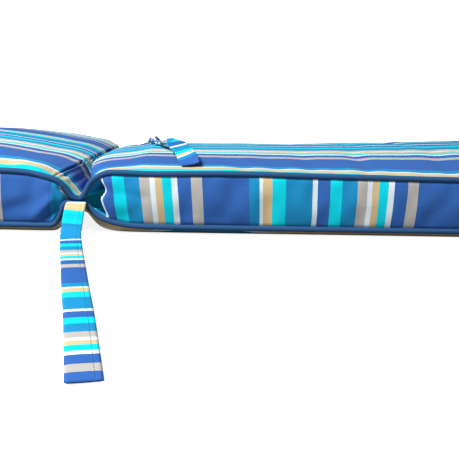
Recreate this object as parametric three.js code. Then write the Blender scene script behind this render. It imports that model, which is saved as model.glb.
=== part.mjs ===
// A striped lounge chair cushion: two filled sections, a sewn hinge between them,
// piping in both edge seams, and a flat tie at each end of the hinge.
// Millimetres, +Z up. Inside the group the hinge lies at x = 0 and the cushion is centred on y = 0.
import * as THREE from 'three';

// Overall sizes
const WIDTH = 560;
const BACK_LENGTH = 660;
const SEAT_LENGTH = 1170;
const BOXING_HEIGHT = 76; // between the centres of the two pipings
const UNDERSIDE_BULGE = 11; // how far the bottom piping stands above the floor
const CORNER_RADIUS = 55;
const SIDE_DRAW_IN = 5; // the long sides curve in between the corners
const END_DRAW_IN = 9; // the short ends curve in between the corners
const BOXING_BULGE = 2.5;

// Piping
const PIPING_RADIUS = 4.1;
const PIPING_SIDES = 8;
const SEAM_GAP = 0.7; // between the piping and the seam face
const SEAM_FLAT = 3.4; // half the width of the seam face that the piping lies against
const HINGE_SEAM_ANGLE = 29; // degrees, from level, of the way from the piping to the body
const OPEN_SEAM_ANGLE = 45;
const OPENING_REACH = 30; // height over the hinge at which the seam has turned to its open angle
const OPENING_START = 0.15;

// Heights of the piping centres over the floor, by the distance from the hinge
const PIPING_HEIGHTS = [
  { place: 0, seatTop: 48.4, seatBottom: 38.9, backTop: 48.4, backBottom: 38.9 },
  { place: 5, seatTop: 51.8, seatBottom: 39.4, backTop: 49.6, backBottom: 39.6 },
  { place: 10, seatTop: 59.2, seatBottom: 38.8, backTop: 52.6, backBottom: 40.8 },
  { place: 15, seatTop: 69, seatBottom: 35.6, backTop: 60, backBottom: 42.8 },
  { place: 20, seatTop: 75, seatBottom: 31.2, backTop: 66.6, backBottom: 41 },
  { place: 25, seatTop: 79, seatBottom: 27, backTop: 71.4, backBottom: 29 },
  { place: 30, seatTop: 82.2, seatBottom: 23.8, backTop: 74.8, backBottom: 18 },
  { place: 36, seatTop: 85, seatBottom: 21, backTop: 77.2, backBottom: 12 },
  { place: 42, seatTop: 86.7, seatBottom: 18.8, backTop: 79, backBottom: 10.9 },
  { place: 50, seatTop: 87.3, seatBottom: 16.4, backTop: 81.2, backBottom: 11 },
  { place: 60, seatTop: 87.3, seatBottom: 14.3, backTop: 83.6, backBottom: 11 },
  { place: 75, seatTop: 86.8, seatBottom: 12.3, backTop: 86, backBottom: 11 },
  { place: 100, seatTop: 86.2, seatBottom: 11.2, backTop: 87.2, backBottom: 11 },
  { place: 150, seatTop: 87.2, seatBottom: 11, backTop: 87, backBottom: 11 },
  { place: 220, seatTop: 88.4, seatBottom: 11, backTop: 86.6, backBottom: 11 },
  { place: 340, seatTop: 87, seatBottom: 11, backTop: 87.2, backBottom: 11 },
  { place: 540, seatTop: 85.6, seatBottom: 11, backTop: 86.8, backBottom: 11 },
  { place: 760, seatTop: 87, seatBottom: 11, backTop: 87, backBottom: 11 },
];

// Hinge
const HINGE_MIDDLE = 43.65; // height of the stitched channel
const WEB_HALF = 1.5; // half the thickness of the stitched channel
const WEB_SHARE = 0.15; // how much of the seam face stands outside the piping at the hinge
const HINGE_PINCH = 8; // how far the stitching draws the side in
const PINCH_REACH = 45;
const WALL_LEAN = 1.1;
const WALL_ROUNDNESS = 0.4;

// How full each section's top panel is: height above the piping, how far from the hinge it is full,
// how it rounds over to the sides and the hinge, which way its ridge leans, how its rear edge hangs
// and how it fills out further along, where the seat gets as full as the back
const CROWNS = {
  back: {
    height: 34, reach: 200, roundness: 0.25, skew: 0, sideFall: 0, fallRoundness: 0.7,
    droop: 0, growth: 0,
  },
  seat: {
    height: 18, reach: 85, roundness: 0.65, skew: -0.1, sideFall: 1.5, fallRoundness: 1,
    droop: 11, growth: 0.9,
  },
};
const EDGE_POWER = 1.2;
const FALL_POWER = 1.1;
const END_REACH = 150;
const END_POWER = 2.3;
const END_ROUNDNESS = 0.75;
const EDGE_RAMP = 4;
const RIDGE_ROUNDING = 0.015;
const EDGE_SHARPNESS = 8; // how close to its side edges a panel takes up the line of the piping
const DROOP_START = 60;
const DROOP_REACH = 450;
const GROWTH_START = 330;
const GROWTH_REACH = 330;

// The crest where each top panel turns down into its wall beside the hinge: its place along the
// cushion, its height and the slope above it, across the width. Between the sides the two walls
// press together and lean over the back section.
const CREST_END = 62;
const CREST_BLEND = 24;
const CRESTS = {
  back: {
    start: 38,
    rows: [
      { share: -1, place: -38, height: 79, slope: 0.75 },
      { share: -0.97, place: -34, height: 80.5, slope: 0.75 },
      { share: -0.9, place: -28.5, height: 83.5, slope: 0.75 },
      { share: -0.84, place: -26, height: 84, slope: 0.7 },
      { share: -0.62, place: -19.5, height: 84.5, slope: 0.7 },
      { share: -0.48, place: -18, height: 85, slope: 0.75 },
      { share: -0.38, place: -13.5, height: 85.5, slope: 0.8 },
      { share: -0.1, place: -12.5, height: 84, slope: 0.8 },
      { share: 0.2, place: -9, height: 83.5, slope: 0.75 },
      { share: 0.44, place: -8.5, height: 81, slope: 0.8 },
      { share: 0.66, place: -6.5, height: 78.5, slope: 0.9 },
      { share: 0.78, place: -0.5, height: 77, slope: 0.95 },
      { share: 0.9, place: 3, height: 75.5, slope: 1 },
      { share: 0.97, place: -22, height: 76, slope: 1 },
      { share: 1, place: -38, height: 77.5, slope: 1 },
    ],
  },
  seat: {
    start: 30,
    rows: [
      { share: -1, place: 30, height: 82, slope: 0.6 },
      { share: -0.93, place: 22, height: 81.5, slope: 0.6 },
      { share: -0.85, place: 14, height: 81, slope: 0.6 },
      { share: -0.75, place: 7, height: 81, slope: 0.6 },
      { share: -0.6, place: 0, height: 81.5, slope: 0.6 },
      { share: -0.38, place: -8, height: 82.5, slope: 0.6 },
      { share: -0.1, place: -9, height: 82, slope: 0.6 },
      { share: 0.2, place: -6, height: 82, slope: 0.6 },
      { share: 0.43, place: -4, height: 80, slope: 0.6 },
      { share: 0.65, place: -2, height: 77.5, slope: 0.6 },
      { share: 0.8, place: 5, height: 75, slope: 0.6 },
      { share: 0.9, place: 18, height: 73, slope: 0.6 },
      { share: 0.97, place: 28, height: 72, slope: 0.6 },
      { share: 1, place: 30, height: 71.5, slope: 0.6 },
    ],
  },
};

// Underside
const UNDERSIDE_CURL = 12; // width of the band that curls up to the bottom piping
const UNDERSIDE_PANEL_REACH = 62;

// The boxing folds inwards beside the hinge: depth by the distance from the hinge
const FOLDS = {
  seat: [
    { place: 0, depth: -21 },
    { place: 6, depth: -24 },
    { place: 14, depth: -27 },
    { place: 20, depth: -24 },
    { place: 26, depth: -15 },
    { place: 32, depth: -4 },
    { place: 38, depth: 0.6 },
    { place: 60, depth: 0 },
  ],
  back: [
    { place: 0, depth: -21 },
    { place: 6, depth: -24 },
    { place: 11, depth: -23 },
    { place: 15, depth: -15 },
    { place: 20, depth: -6 },
    { place: 25, depth: 0 },
    { place: 31, depth: 1 },
    { place: 60, depth: 0 },
  ],
};

// Mesh density
const HINGE_STATIONS = {
  back: [0, 5, 10, 15, 19, 23, 27, 31, 35, 38, 41, 45, 50, 56, 62, 72, 85, 105],
  seat: [0, 5, 10, 15, 19, 23, 26, 28.5, 30, 32.5, 36, 41, 47, 54, 62, 72, 85, 105],
};
const BACK_MIDDLE_STEPS = 9;
const SEAT_MIDDLE_STEPS = 17;
const CORNER_STEPS = 6;
const EDGE_STEPS = [0, 4, 10, 19, 32, 52, 80, 118, 164, 220, 280]; // inwards from a side seam
const BOXING_STEPS = 6;

// Ties
const TIE_WIDTH = 28.5;
const TIE_THICKNESS = 2;
const TIE_STEPS_PER_ROW = 4;
const TIE_CLEARANCE = 2; // above the panel that the rear tie lies on
const ROOT_CLEARANCE = 5.2; // from the line of the pipings to the tie's sewn end
const ROOT_LIFT = 2.1; // the sewn end lies in the groove over the bottom piping
const EDGE_BAND = 12; // the tie's route holds its own height this close to the panel's edge

// Colours from the cloth
const NAVY_CLOTH = 0x2f5fa8;
const PIPING_CLOTH = 0x315082;
const TEAL_CLOTH = 0x1886ba;

const MID_HEIGHT = UNDERSIDE_BULGE + BOXING_HEIGHT / 2;
const FULL_HEIGHT = UNDERSIDE_BULGE + BOXING_HEIGHT;
const HALF_WIDTH = WIDTH / 2;
const SEAM_OFFSET = PIPING_RADIUS + SEAM_GAP;
const SEAM_INSET = (SEAM_OFFSET + SEAM_FLAT) * Math.SQRT1_2;
const SEAM_DROP = (SEAM_OFFSET - SEAM_FLAT) * Math.SQRT1_2;

const { degToRad, lerp, smoothstep } = THREE.MathUtils;

function clamp01(value) {
  return THREE.MathUtils.clamp(value, 0, 1);
}

function sectionAt(x) {
  return x < 0 ? 'back' : 'seat';
}

function lengthAt(x) {
  return x < 0 ? BACK_LENGTH : SEAT_LENGTH;
}

function rise(distance, reach) {
  return Math.sin(Math.PI / 2 * clamp01(distance / reach));
}

function fall(share, power, roundness) {
  return (1 - (1 - clamp01(share)) ** power) ** roundness;
}

// A smooth step between two heights with the given slopes, t from 0 to 1
function hermite(t, start, end, startSlope, endSlope) {
  const early = start * (1 - 3 * t ** 2 + 2 * t ** 3) + startSlope * (t - 2 * t ** 2 + t ** 3);
  return early + end * (3 * t ** 2 - 2 * t ** 3) + endSlope * (t ** 3 - t ** 2);
}

// Reads one column of a table by another, smoothly and without overshooting between its rows
function readTable(rows, key, value, column) {
  const at = THREE.MathUtils.clamp(value, rows[0][key], rows[rows.length - 1][key]);
  let n = 0;
  while (n < rows.length - 2 && at >= rows[n + 1][key]) n += 1;
  const slopeOf = (m) => (
    (rows[m + 1][column] - rows[m][column]) / (rows[m + 1][key] - rows[m][key])
  );
  const tangentAt = (m) => {
    if (m === 0) return slopeOf(0);
    if (m === rows.length - 1) return slopeOf(m - 1);
    const before = slopeOf(m - 1);
    const after = slopeOf(m);
    return before * after > 0 ? 2 * before * after / (before + after) : 0;
  };
  const step = rows[n + 1][key] - rows[n][key];
  const t = (at - rows[n][key]) / step;
  return hermite(
    t, rows[n][column], rows[n + 1][column], tangentAt(n) * step, tangentAt(n + 1) * step,
  );
}

// Half-width of the plan outline at the piping, with the corner arcs and the pinch at the hinge
function pipingHalfWidth(x) {
  const length = lengthAt(x);
  const fromHinge = Math.abs(x);
  const intoCorner = Math.max(0, fromHinge - (length - CORNER_RADIUS));
  const corner = CORNER_RADIUS - Math.sqrt(Math.max(0, CORNER_RADIUS ** 2 - intoCorner ** 2));
  const drawIn = SIDE_DRAW_IN * Math.sin(Math.PI * clamp01(fromHinge / length)) ** 2;
  const pinch = HINGE_PINCH * (1 - rise(fromHinge, PINCH_REACH));
  return HALF_WIDTH - corner - drawIn - pinch;
}

// The short ends curve in towards their middle
function drawnEnd(x, share) {
  const length = lengthAt(x);
  const nearEnd = clamp01((Math.abs(x) - length + 2 * CORNER_RADIUS) / (2 * CORNER_RADIUS));
  const straightShare = share * pipingHalfWidth(x) / HALF_WIDTH;
  return x - Math.sign(x) * END_DRAW_IN * nearEnd ** 2 * (1 - straightShare ** 2);
}

// The rear edge of the seat hangs lower beside the hinge
function droop(x, share) {
  const fromHinge = Math.abs(x);
  const depth = CROWNS[sectionAt(x)].droop * clamp01(share) ** 2;
  return depth * rise(fromHinge, DROOP_START) * Math.exp(-((fromHinge / DROOP_REACH) ** 2));
}

function pipingHeight(x, share, side) {
  const column = `${sectionAt(x)}${side > 0 ? 'Top' : 'Bottom'}`;
  const height = readTable(PIPING_HEIGHTS, 'place', Math.abs(x), column);
  return side > 0 ? height - droop(x, share) : height;
}

// Height of the top panel away from the hinge; share is the place across the width, -1 to 1
function crownHeight(x, share) {
  const crown = CROWNS[sectionAt(x)];
  const fromHinge = Math.abs(x);
  const fromEnd = Math.max(0, lengthAt(x) - fromHinge);
  const skewed = share - crown.skew * (1 - share ** 2);
  const fromRidge = Math.sqrt((skewed ** 2 + RIDGE_ROUNDING) / (1 + RIDGE_ROUNDING));
  const across = (1 - Math.min(fromRidge, 1) ** EDGE_POWER) ** crown.roundness;
  const ramp = rise((1 - Math.abs(share)) * HALF_WIDTH, EDGE_RAMP);
  const fromSeam = fall(fromHinge / crown.reach, FALL_POWER, crown.fallRoundness);
  const along = fromSeam ** (1 + crown.sideFall * share ** 2)
    * fall(fromEnd / END_REACH, END_POWER, END_ROUNDNESS);
  const growth = 1 + crown.growth * clamp01((fromHinge - GROWTH_START) / GROWTH_REACH);
  const atEdge = Math.abs(share) ** EDGE_SHARPNESS;
  const level = lerp(FULL_HEIGHT - droop(x, share), pipingHeight(x, share, 1), atEdge);
  return level + crown.height * across * ramp * along * growth;
}

// The top panel's place along the cushion and its height, with the crest and the wall at the hinge
function topSurface(x, share) {
  const fromHinge = Math.abs(x);
  if (fromHinge >= CREST_END) return { x, height: crownHeight(x, share) };
  const crest = CRESTS[sectionAt(x)];
  const sign = x < 0 ? -1 : 1;
  const crestPlace = readTable(crest.rows, 'share', share, 'place');
  const crestHeight = readTable(crest.rows, 'share', share, 'height');
  const inner = { x: 0, height: 0 };
  if (fromHinge < crest.start) {
    const upWall = fromHinge / crest.start;
    const rounded = lerp(upWall, Math.sin(Math.PI / 2 * upWall), WALL_ROUNDNESS);
    inner.x = crestPlace * upWall ** WALL_LEAN;
    inner.height = lerp(HINGE_MIDDLE + WEB_HALF, crestHeight, rounded);
  } else {
    const end = sign * CREST_END;
    const endHeight = crownHeight(end, share);
    const endSlope = (crownHeight(end + 2 * sign, share) - endHeight) / 2;
    const above = (fromHinge - crest.start) / (CREST_END - crest.start);
    const run = Math.abs(end - crestPlace);
    const slope = readTable(crest.rows, 'share', share, 'slope');
    inner.x = lerp(crestPlace, end, above);
    inner.height = hermite(above, crestHeight, endHeight, slope * run, endSlope * run);
  }
  const fade = 1 - smoothstep(fromHinge, CREST_END - CREST_BLEND, CREST_END);
  const atEdge = Math.abs(share) ** EDGE_SHARPNESS * fade;
  return {
    x: lerp(inner.x, x, atEdge),
    height: lerp(inner.height, pipingHeight(x, share, 1), atEdge),
  };
}

// Height of the bottom panel: flat on the floor, curling up to the piping and the hinge
function bottomHeight(x, share) {
  const fromHinge = Math.abs(x);
  const fromSide = (1 - Math.abs(share)) * HALF_WIDTH;
  const fromEnd = Math.max(0, lengthAt(x) - fromHinge);
  const inwards = clamp01(Math.min(fromSide, fromEnd) / UNDERSIDE_CURL);
  const curl = (UNDERSIDE_BULGE + SEAM_DROP) * (1 - Math.sqrt(1 - (1 - inwards) ** 2));
  const atEdge = Math.abs(share) ** EDGE_SHARPNESS;
  const middle = lerp(HINGE_MIDDLE - WEB_HALF, 0, rise(fromHinge, UNDERSIDE_PANEL_REACH));
  const atHinge = lerp(middle, pipingHeight(x, share, -1), atEdge);
  const lowest = UNDERSIDE_BULGE * atEdge;
  const hingeShare = clamp01((atHinge - lowest) / (HINGE_MIDDLE - WEB_HALF));
  return lerp(curl, atHinge, hingeShare);
}

// Stations along the length, close together at the hinge and round the corners
function sectionStations(hingeStations, length, middleSteps) {
  const stations = [...hingeStations];
  const start = hingeStations[hingeStations.length - 1];
  const end = length - CORNER_RADIUS;
  for (let step = 1; step <= middleSteps; step += 1) {
    stations.push(lerp(start, end, step / middleSteps));
  }
  for (let step = 1; step <= CORNER_STEPS; step += 1) {
    stations.push(end + CORNER_RADIUS * Math.sin(Math.PI / 2 * step / CORNER_STEPS));
  }
  return stations;
}

const backStations = sectionStations(HINGE_STATIONS.back, BACK_LENGTH, BACK_MIDDLE_STEPS);
const seatStations = sectionStations(HINGE_STATIONS.seat, SEAT_LENGTH, SEAT_MIDDLE_STEPS);
const STATIONS = [...backStations.slice(1).reverse().map((x) => -x), ...seatStations];
const halfShares = EDGE_STEPS.map((step) => 1 - step / HALF_WIDTH);
const SHARES = [...halfShares.map((share) => -share), ...halfShares.slice(0, -1).reverse()];
const LAST_STATION = STATIONS.length - 1;
const LAST_SHARE = SHARES.length - 1;

// The grid places round the outline, anticlockwise seen from above
function outlinePlaces() {
  const places = [];
  for (let i = 0; i < LAST_STATION; i += 1) places.push({ i, j: 0 });
  for (let j = 0; j < LAST_SHARE; j += 1) places.push({ i: LAST_STATION, j });
  for (let i = LAST_STATION; i > 0; i -= 1) places.push({ i, j: LAST_SHARE });
  for (let j = LAST_SHARE; j > 0; j -= 1) places.push({ i: 0, j });
  return places;
}

const OUTLINE = outlinePlaces();

// The centre line of one piping: side is 1 for the top, -1 for the bottom
function pipingLine(side) {
  return OUTLINE.map(({ i, j }) => {
    const x = STATIONS[i];
    const share = SHARES[j];
    const height = pipingHeight(x, share, side);
    return new THREE.Vector3(drawnEnd(x, share), pipingHalfWidth(x) * share, height);
  });
}

// Outward and upward directions square to the piping at each place on it
function pipingFrames(line, side) {
  return line.map((point, k) => {
    const before = line[(k + line.length - 1) % line.length];
    const after = line[(k + 1) % line.length];
    const along = after.clone().sub(point).normalize().add(point.clone().sub(before).normalize());
    along.normalize();
    const outward = new THREE.Vector3(along.y, -along.x, 0).normalize();
    const upward = new THREE.Vector3().crossVectors(outward, along).normalize();
    const fromMiddle = side * (point.z - HINGE_MIDDLE);
    const opening = clamp01(fromMiddle / OPENING_REACH - OPENING_START);
    return { point, outward, upward: upward.multiplyScalar(side), opening };
  });
}

// The way from the piping to the body, turning as the two sections open from the hinge
function seamAngle(opening) {
  return degToRad(lerp(HINGE_SEAM_ANGLE, OPEN_SEAM_ANGLE, opening));
}

// The two edges of the seam face beside the piping: one on the panel, one on the boxing
function seamEdges({ point, outward, upward, opening }) {
  const angle = seamAngle(opening);
  const intoBody = outward.clone().multiplyScalar(-Math.cos(angle));
  intoBody.addScaledVector(upward, -Math.sin(angle));
  const towardsPanel = outward.clone().multiplyScalar(-Math.sin(angle));
  towardsPanel.addScaledVector(upward, Math.cos(angle));
  const seam = point.clone().addScaledVector(intoBody, SEAM_OFFSET);
  return {
    panel: seam.clone().addScaledVector(towardsPanel, SEAM_FLAT),
    boxing: seam.clone().addScaledVector(towardsPanel, -SEAM_FLAT * lerp(WEB_SHARE, 1, opening)),
  };
}

const topFrames = pipingFrames(pipingLine(1), 1);
const bottomFrames = pipingFrames(pipingLine(-1), -1);
const topSeam = topFrames.map(seamEdges);
const bottomSeam = bottomFrames.map(seamEdges);

function geometryFrom(points, triangles) {
  const geometry = new THREE.BufferGeometry();
  const positions = points.flatMap((point) => [point.x, point.y, point.z]);
  geometry.setAttribute('position', new THREE.Float32BufferAttribute(positions, 3));
  geometry.setIndex(triangles);
  geometry.computeVertexNormals();
  return geometry;
}

// Where a grid point lies in plan, inside the outline of the panel's seam
function panelPlace(x, share) {
  const cornerStart = lengthAt(x) - CORNER_RADIUS;
  const intoCorner = Math.max(0, Math.abs(x) - cornerStart) / CORNER_RADIUS;
  const insetX = Math.sign(x) * SEAM_INSET * intoCorner;
  const insetY = SEAM_INSET * Math.sqrt(Math.max(0, 1 - intoCorner ** 2));
  return { x: drawnEnd(x, share) - insetX, y: (pipingHalfWidth(x) - insetY) * share };
}

// One panel: a grid of points, its outline taken from the seam edges
function panelPoints(seam, surface) {
  const outlineIndex = new Map(OUTLINE.map(({ i, j }, k) => [`${i},${j}`, k]));
  return STATIONS.map((x, i) => SHARES.map((share, j) => {
    const k = outlineIndex.get(`${i},${j}`);
    if (k !== undefined) return seam[k].panel;
    const place = panelPlace(x, share);
    const shape = surface(x, share);
    return new THREE.Vector3(place.x + shape.x - x, place.y, shape.height);
  }));
}

// The boxing bulges a little between the pipings and folds in beside the hinge
function boxingPoint(k, level) {
  const { i, j } = OUTLINE[k];
  const x = STATIONS[i];
  const onLongSide = j === 0 || j === LAST_SHARE;
  const fold = onLongSide ? readTable(FOLDS[sectionAt(x)], 'place', Math.abs(x), 'depth') : 0;
  const bulge = BOXING_BULGE * rise(Math.abs(x), PINCH_REACH);
  const onBoxing = topSeam[k].boxing.clone().lerp(bottomSeam[k].boxing, level);
  const roundOff = Math.sin(Math.PI * level) ** 0.6;
  return onBoxing.addScaledVector(topFrames[k].outward, (fold + bulge) * roundOff);
}

function cushionGeometry() {
  const points = [];
  const triangles = [];
  const addPoint = (point) => points.push(point) - 1;
  const addQuad = (a, b, c, d) => triangles.push(a, b, c, a, c, d);
  const underside = (x, share) => ({ x, height: bottomHeight(x, share) });
  const top = panelPoints(topSeam, topSurface).map((row) => row.map(addPoint));
  const bottom = panelPoints(bottomSeam, underside).map((row) => row.map(addPoint));
  for (let i = 0; i < LAST_STATION; i += 1) {
    for (let j = 0; j < LAST_SHARE; j += 1) {
      addQuad(top[i][j], top[i + 1][j], top[i + 1][j + 1], top[i][j + 1]);
      addQuad(bottom[i][j], bottom[i][j + 1], bottom[i + 1][j + 1], bottom[i + 1][j]);
    }
  }
  const rings = OUTLINE.map(({ i, j }, k) => {
    const ring = [top[i][j]];
    for (let step = 0; step <= BOXING_STEPS; step += 1) {
      ring.push(addPoint(boxingPoint(k, step / BOXING_STEPS)));
    }
    ring.push(bottom[i][j]);
    return ring;
  });
  rings.forEach((ring, k) => {
    const next = rings[(k + 1) % rings.length];
    for (let step = 0; step < ring.length - 1; step += 1) {
      addQuad(ring[step + 1], next[step + 1], next[step], ring[step]);
    }
  });
  return geometryFrom(points, triangles);
}

// A piping: a many-sided ring at each place on the outline, one flat of it along the seam face
function pipingGeometry(frames, side) {
  const points = [];
  const triangles = [];
  const cornerRadius = PIPING_RADIUS / Math.cos(Math.PI / PIPING_SIDES);
  frames.forEach(({ point, outward, upward, opening }) => {
    const towardsBody = seamAngle(opening);
    for (let corner = 0; corner < PIPING_SIDES; corner += 1) {
      const angle = towardsBody + 2 * Math.PI * (corner + 0.5) / PIPING_SIDES;
      const place = point.clone().addScaledVector(outward, -cornerRadius * Math.cos(angle));
      points.push(place.addScaledVector(upward, -cornerRadius * Math.sin(angle)));
    }
  });
  frames.forEach((_, k) => {
    const ring = k * PIPING_SIDES;
    const nextRing = ((k + 1) % frames.length) * PIPING_SIDES;
    for (let corner = 0; corner < PIPING_SIDES; corner += 1) {
      const nextCorner = (corner + 1) % PIPING_SIDES;
      const quad = [ring + corner, nextRing + corner, nextRing + nextCorner, ring + nextCorner];
      if (side < 0) quad.reverse();
      triangles.push(quad[0], quad[1], quad[2], quad[0], quad[2], quad[3]);
    }
  });
  return geometryFrom(points, triangles);
}

// The ties' routes: x and y in plan, z the least height of the strip's middle and lift its height
// over what it lies on. across is the turn of its width in plan, tilt lifts its right edge, and
// width is a share of the full width, less where the strip curls or bunches.
const FRONT_ROOT = -HALF_WIDTH + HINGE_PINCH - ROOT_CLEARANCE;

// The front tie drops from the hinge to the floor and lies there, towards the front
const FRONT_TIE_ROUTE = [
  { x: 0, y: FRONT_ROOT, z: HINGE_MIDDLE + ROOT_LIFT, lift: 0, across: 0, tilt: 0, width: 0.5 },
  { x: -1.2, y: -281.4, z: HINGE_MIDDLE + 1.4, lift: 0, across: 0, tilt: 0, width: 0.85 },
  { x: -2.3, y: -286, z: HINGE_MIDDLE - 4, lift: 0, across: 0, tilt: 0, width: 1 },
  { x: -3.2, y: -290, z: HINGE_MIDDLE - 12, lift: 0, across: -1, tilt: 0, width: 1 },
  { x: -4.6, y: -294, z: 22, lift: 0, across: -1, tilt: 0, width: 1 },
  { x: -5.2, y: -300, z: 12, lift: 0, across: -2, tilt: 0, width: 1 },
  { x: -4.6, y: -310, z: 6.6, lift: 0, across: -3, tilt: 0, width: 1 },
  { x: -2.4, y: -325, z: 3, lift: 0, across: -5, tilt: 0, width: 1 },
  { x: 1.4, y: -345, z: 0, lift: 0.6, across: -8, tilt: 0, width: 1 },
  { x: 12.8, y: -400, z: 0, lift: 0.2, across: -12, tilt: 0, width: 1 },
  { x: 30.5, y: -480, z: 0, lift: 0, across: -12.5, tilt: 0, width: 1 },
  { x: 48, y: -560, z: 0, lift: 0, across: -12.5, tilt: 0, width: 1 },
  { x: 66, y: -640, z: 0, lift: 0, across: -12.5, tilt: 0, width: 1 },
  { x: 83, y: -720, z: 0, lift: 0, across: -12, tilt: 0, width: 1 },
  { x: 98, y: -792, z: 0, lift: 0, across: -12, tilt: 0, width: 1 },
];

// The rear tie climbs the rear boxing, crosses the seat's top panel towards the front, bunches and
// twists on the crown, stands up in a fold and ends near the front piping
const REAR_TIE_ROUTE = [
  { x: 0, y: -FRONT_ROOT, z: HINGE_MIDDLE + ROOT_LIFT, lift: 0, across: 0, tilt: 0, width: 0.5 },
  { x: 2, y: 282.4, z: HINGE_MIDDLE + 1.8, lift: 0, across: 0, tilt: -4, width: 0.8 },
  { x: 9, y: 289, z: 47.5, lift: 0, across: 0, tilt: -22, width: 1 },
  { x: 26, y: 291.5, z: 57, lift: 0, across: 0, tilt: -34, width: 1 },
  { x: 42, y: 291, z: 66, lift: 0, across: 1, tilt: -30, width: 1 },
  { x: 54, y: 290.5, z: 73.5, lift: 0, across: 3, tilt: -18, width: 1 },
  { x: 61, y: 288, z: 81.5, lift: 0, across: 6, tilt: -6, width: 1 },
  { x: 65, y: 279, z: 85, lift: 0, across: 10, tilt: -1, width: 1 },
  { x: 68, y: 264, z: 84, lift: 0, across: 9, tilt: 0, width: 1 },
  { x: 72, y: 226, z: 0, lift: 0, across: 6, tilt: 0, width: 1 },
  { x: 76, y: 176, z: 0, lift: 0, across: 4, tilt: 0, width: 1 },
  { x: 79, y: 126, z: 0, lift: 0, across: 3, tilt: 0, width: 1 },
  { x: 80, y: 84, z: 0, lift: 0, across: 3, tilt: 0, width: 0.97 },
  { x: 80.5, y: 52, z: 0, lift: 0.4, across: 4, tilt: 0, width: 0.83 },
  { x: 82, y: 26, z: 0, lift: 2.4, across: 8, tilt: 8, width: 0.62 },
  { x: 84, y: 6, z: 0, lift: 3.6, across: 16, tilt: 22, width: 0.5 },
  { x: 88, y: -14, z: 0, lift: 3.2, across: 28, tilt: 34, width: 0.4 },
  { x: 96, y: -38, z: 0, lift: 3.4, across: 38, tilt: 36, width: 0.36 },
  { x: 104, y: -62, z: 0, lift: 5.6, across: 40, tilt: 34, width: 0.48 },
  { x: 112, y: -85, z: 0, lift: 10, across: 32, tilt: 20, width: 0.74 },
  { x: 121, y: -103, z: 0, lift: 13, across: 24, tilt: 8, width: 0.96 },
  { x: 128, y: -116, z: 0, lift: 13.6, across: 22, tilt: 6, width: 1 },
  { x: 132, y: -125, z: 0, lift: 9.6, across: 14, tilt: 13, width: 1 },
  { x: 135.5, y: -142, z: 0, lift: 7.6, across: 12, tilt: 15, width: 1 },
  { x: 140.5, y: -162, z: 0, lift: 7.8, across: 12, tilt: 16, width: 1 },
  { x: 145, y: -184, z: 0, lift: 7, across: 11, tilt: 19, width: 1 },
  { x: 149.5, y: -212, z: 0, lift: 5.4, across: 15, tilt: 25, width: 1 },
  { x: 153, y: -229, z: 0, lift: 3.2, across: 20, tilt: 22, width: 0.98 },
  { x: 156, y: -244, z: 0, lift: 0.8, across: 25, tilt: 14, width: 0.93 },
];

// Lowest place for a strip at a point in plan: the floor, or clear of the top panel
function restingHeight(x, y) {
  const halfWidth = pipingHalfWidth(x);
  if (Math.abs(y) > halfWidth - EDGE_BAND) return TIE_THICKNESS / 2;
  const panel = Math.abs(x) > CREST_END - CREST_BLEND ? crownHeight(x, y / halfWidth) : 0;
  return panel + TIE_CLEARANCE + TIE_THICKNESS / 2;
}

// The strip's section at each station: its right edge, its left edge and its middle
function tieStations(route) {
  const rowPlaces = route.map((row) => new THREE.Vector3(row.x, row.y, row.z));
  const rowTurns = route.map((row) => new THREE.Vector3(row.across, row.tilt, row.width));
  const rowLifts = route.map((row) => new THREE.Vector3(row.lift, 0, 0));
  const places = new THREE.CatmullRomCurve3(rowPlaces, false, 'centripetal');
  const turns = new THREE.CatmullRomCurve3(rowTurns, false, 'catmullrom');
  const lifts = new THREE.CatmullRomCurve3(rowLifts, false, 'catmullrom');
  const count = (route.length - 1) * TIE_STEPS_PER_ROW;
  return Array.from({ length: count + 1 }, (_, step) => {
    const middle = places.getPoint(step / count);
    const turn = turns.getPoint(step / count);
    const lift = Math.max(0, lifts.getPoint(step / count).x);
    const across = degToRad(turn.x);
    const tilt = degToRad(turn.y);
    const reach = TIE_WIDTH / 2 * turn.z;
    middle.z = Math.max(middle.z, restingHeight(middle.x, middle.y) + lift);
    const towardsRight = new THREE.Vector3(Math.cos(across), Math.sin(across), 0);
    towardsRight.multiplyScalar(Math.cos(tilt)).setZ(Math.sin(tilt));
    const right = middle.clone().addScaledVector(towardsRight, reach);
    const left = middle.clone().addScaledVector(towardsRight, -reach);
    right.z = Math.max(right.z, restingHeight(right.x, right.y));
    left.z = Math.max(left.z, restingHeight(left.x, left.y));
    return { middle, right, left };
  });
}

// A flat strip: four corners at each station, closed at both ends
function tieGeometry(route) {
  const stations = tieStations(route);
  const points = [];
  stations.forEach(({ right, left, middle }, k) => {
    const before = stations[Math.max(0, k - 1)].middle;
    const after = stations[Math.min(stations.length - 1, k + 1)].middle;
    const along = after.clone().sub(before);
    const face = new THREE.Vector3().crossVectors(along, right.clone().sub(left)).normalize();
    const half = TIE_THICKNESS / 2;
    points.push(right.clone().addScaledVector(face, half), left.clone().addScaledVector(face, half));
    points.push(left.clone().addScaledVector(face, -half), right.clone().addScaledVector(face, -half));
  });
  const triangles = [];
  for (let k = 0; k < stations.length - 1; k += 1) {
    for (let corner = 0; corner < 4; corner += 1) {
      const next = (corner + 1) % 4;
      const [a, b, c, d] = [4 * k + corner, 4 * k + next, 4 * k + 4 + next, 4 * k + 4 + corner];
      triangles.push(a, b, c, a, c, d);
    }
  }
  const end = points.length - 4;
  triangles.push(0, 3, 2, 0, 2, 1, end, end + 1, end + 2, end, end + 2, end + 3);
  return geometryFrom(points, triangles);
}

function addPiece(group, name, geometry, color) {
  const cloth = new THREE.MeshStandardMaterial({ color, roughness: 0.85, metalness: 0 });
  const mesh = new THREE.Mesh(geometry, cloth);
  mesh.name = name;
  group.add(mesh);
}

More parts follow.
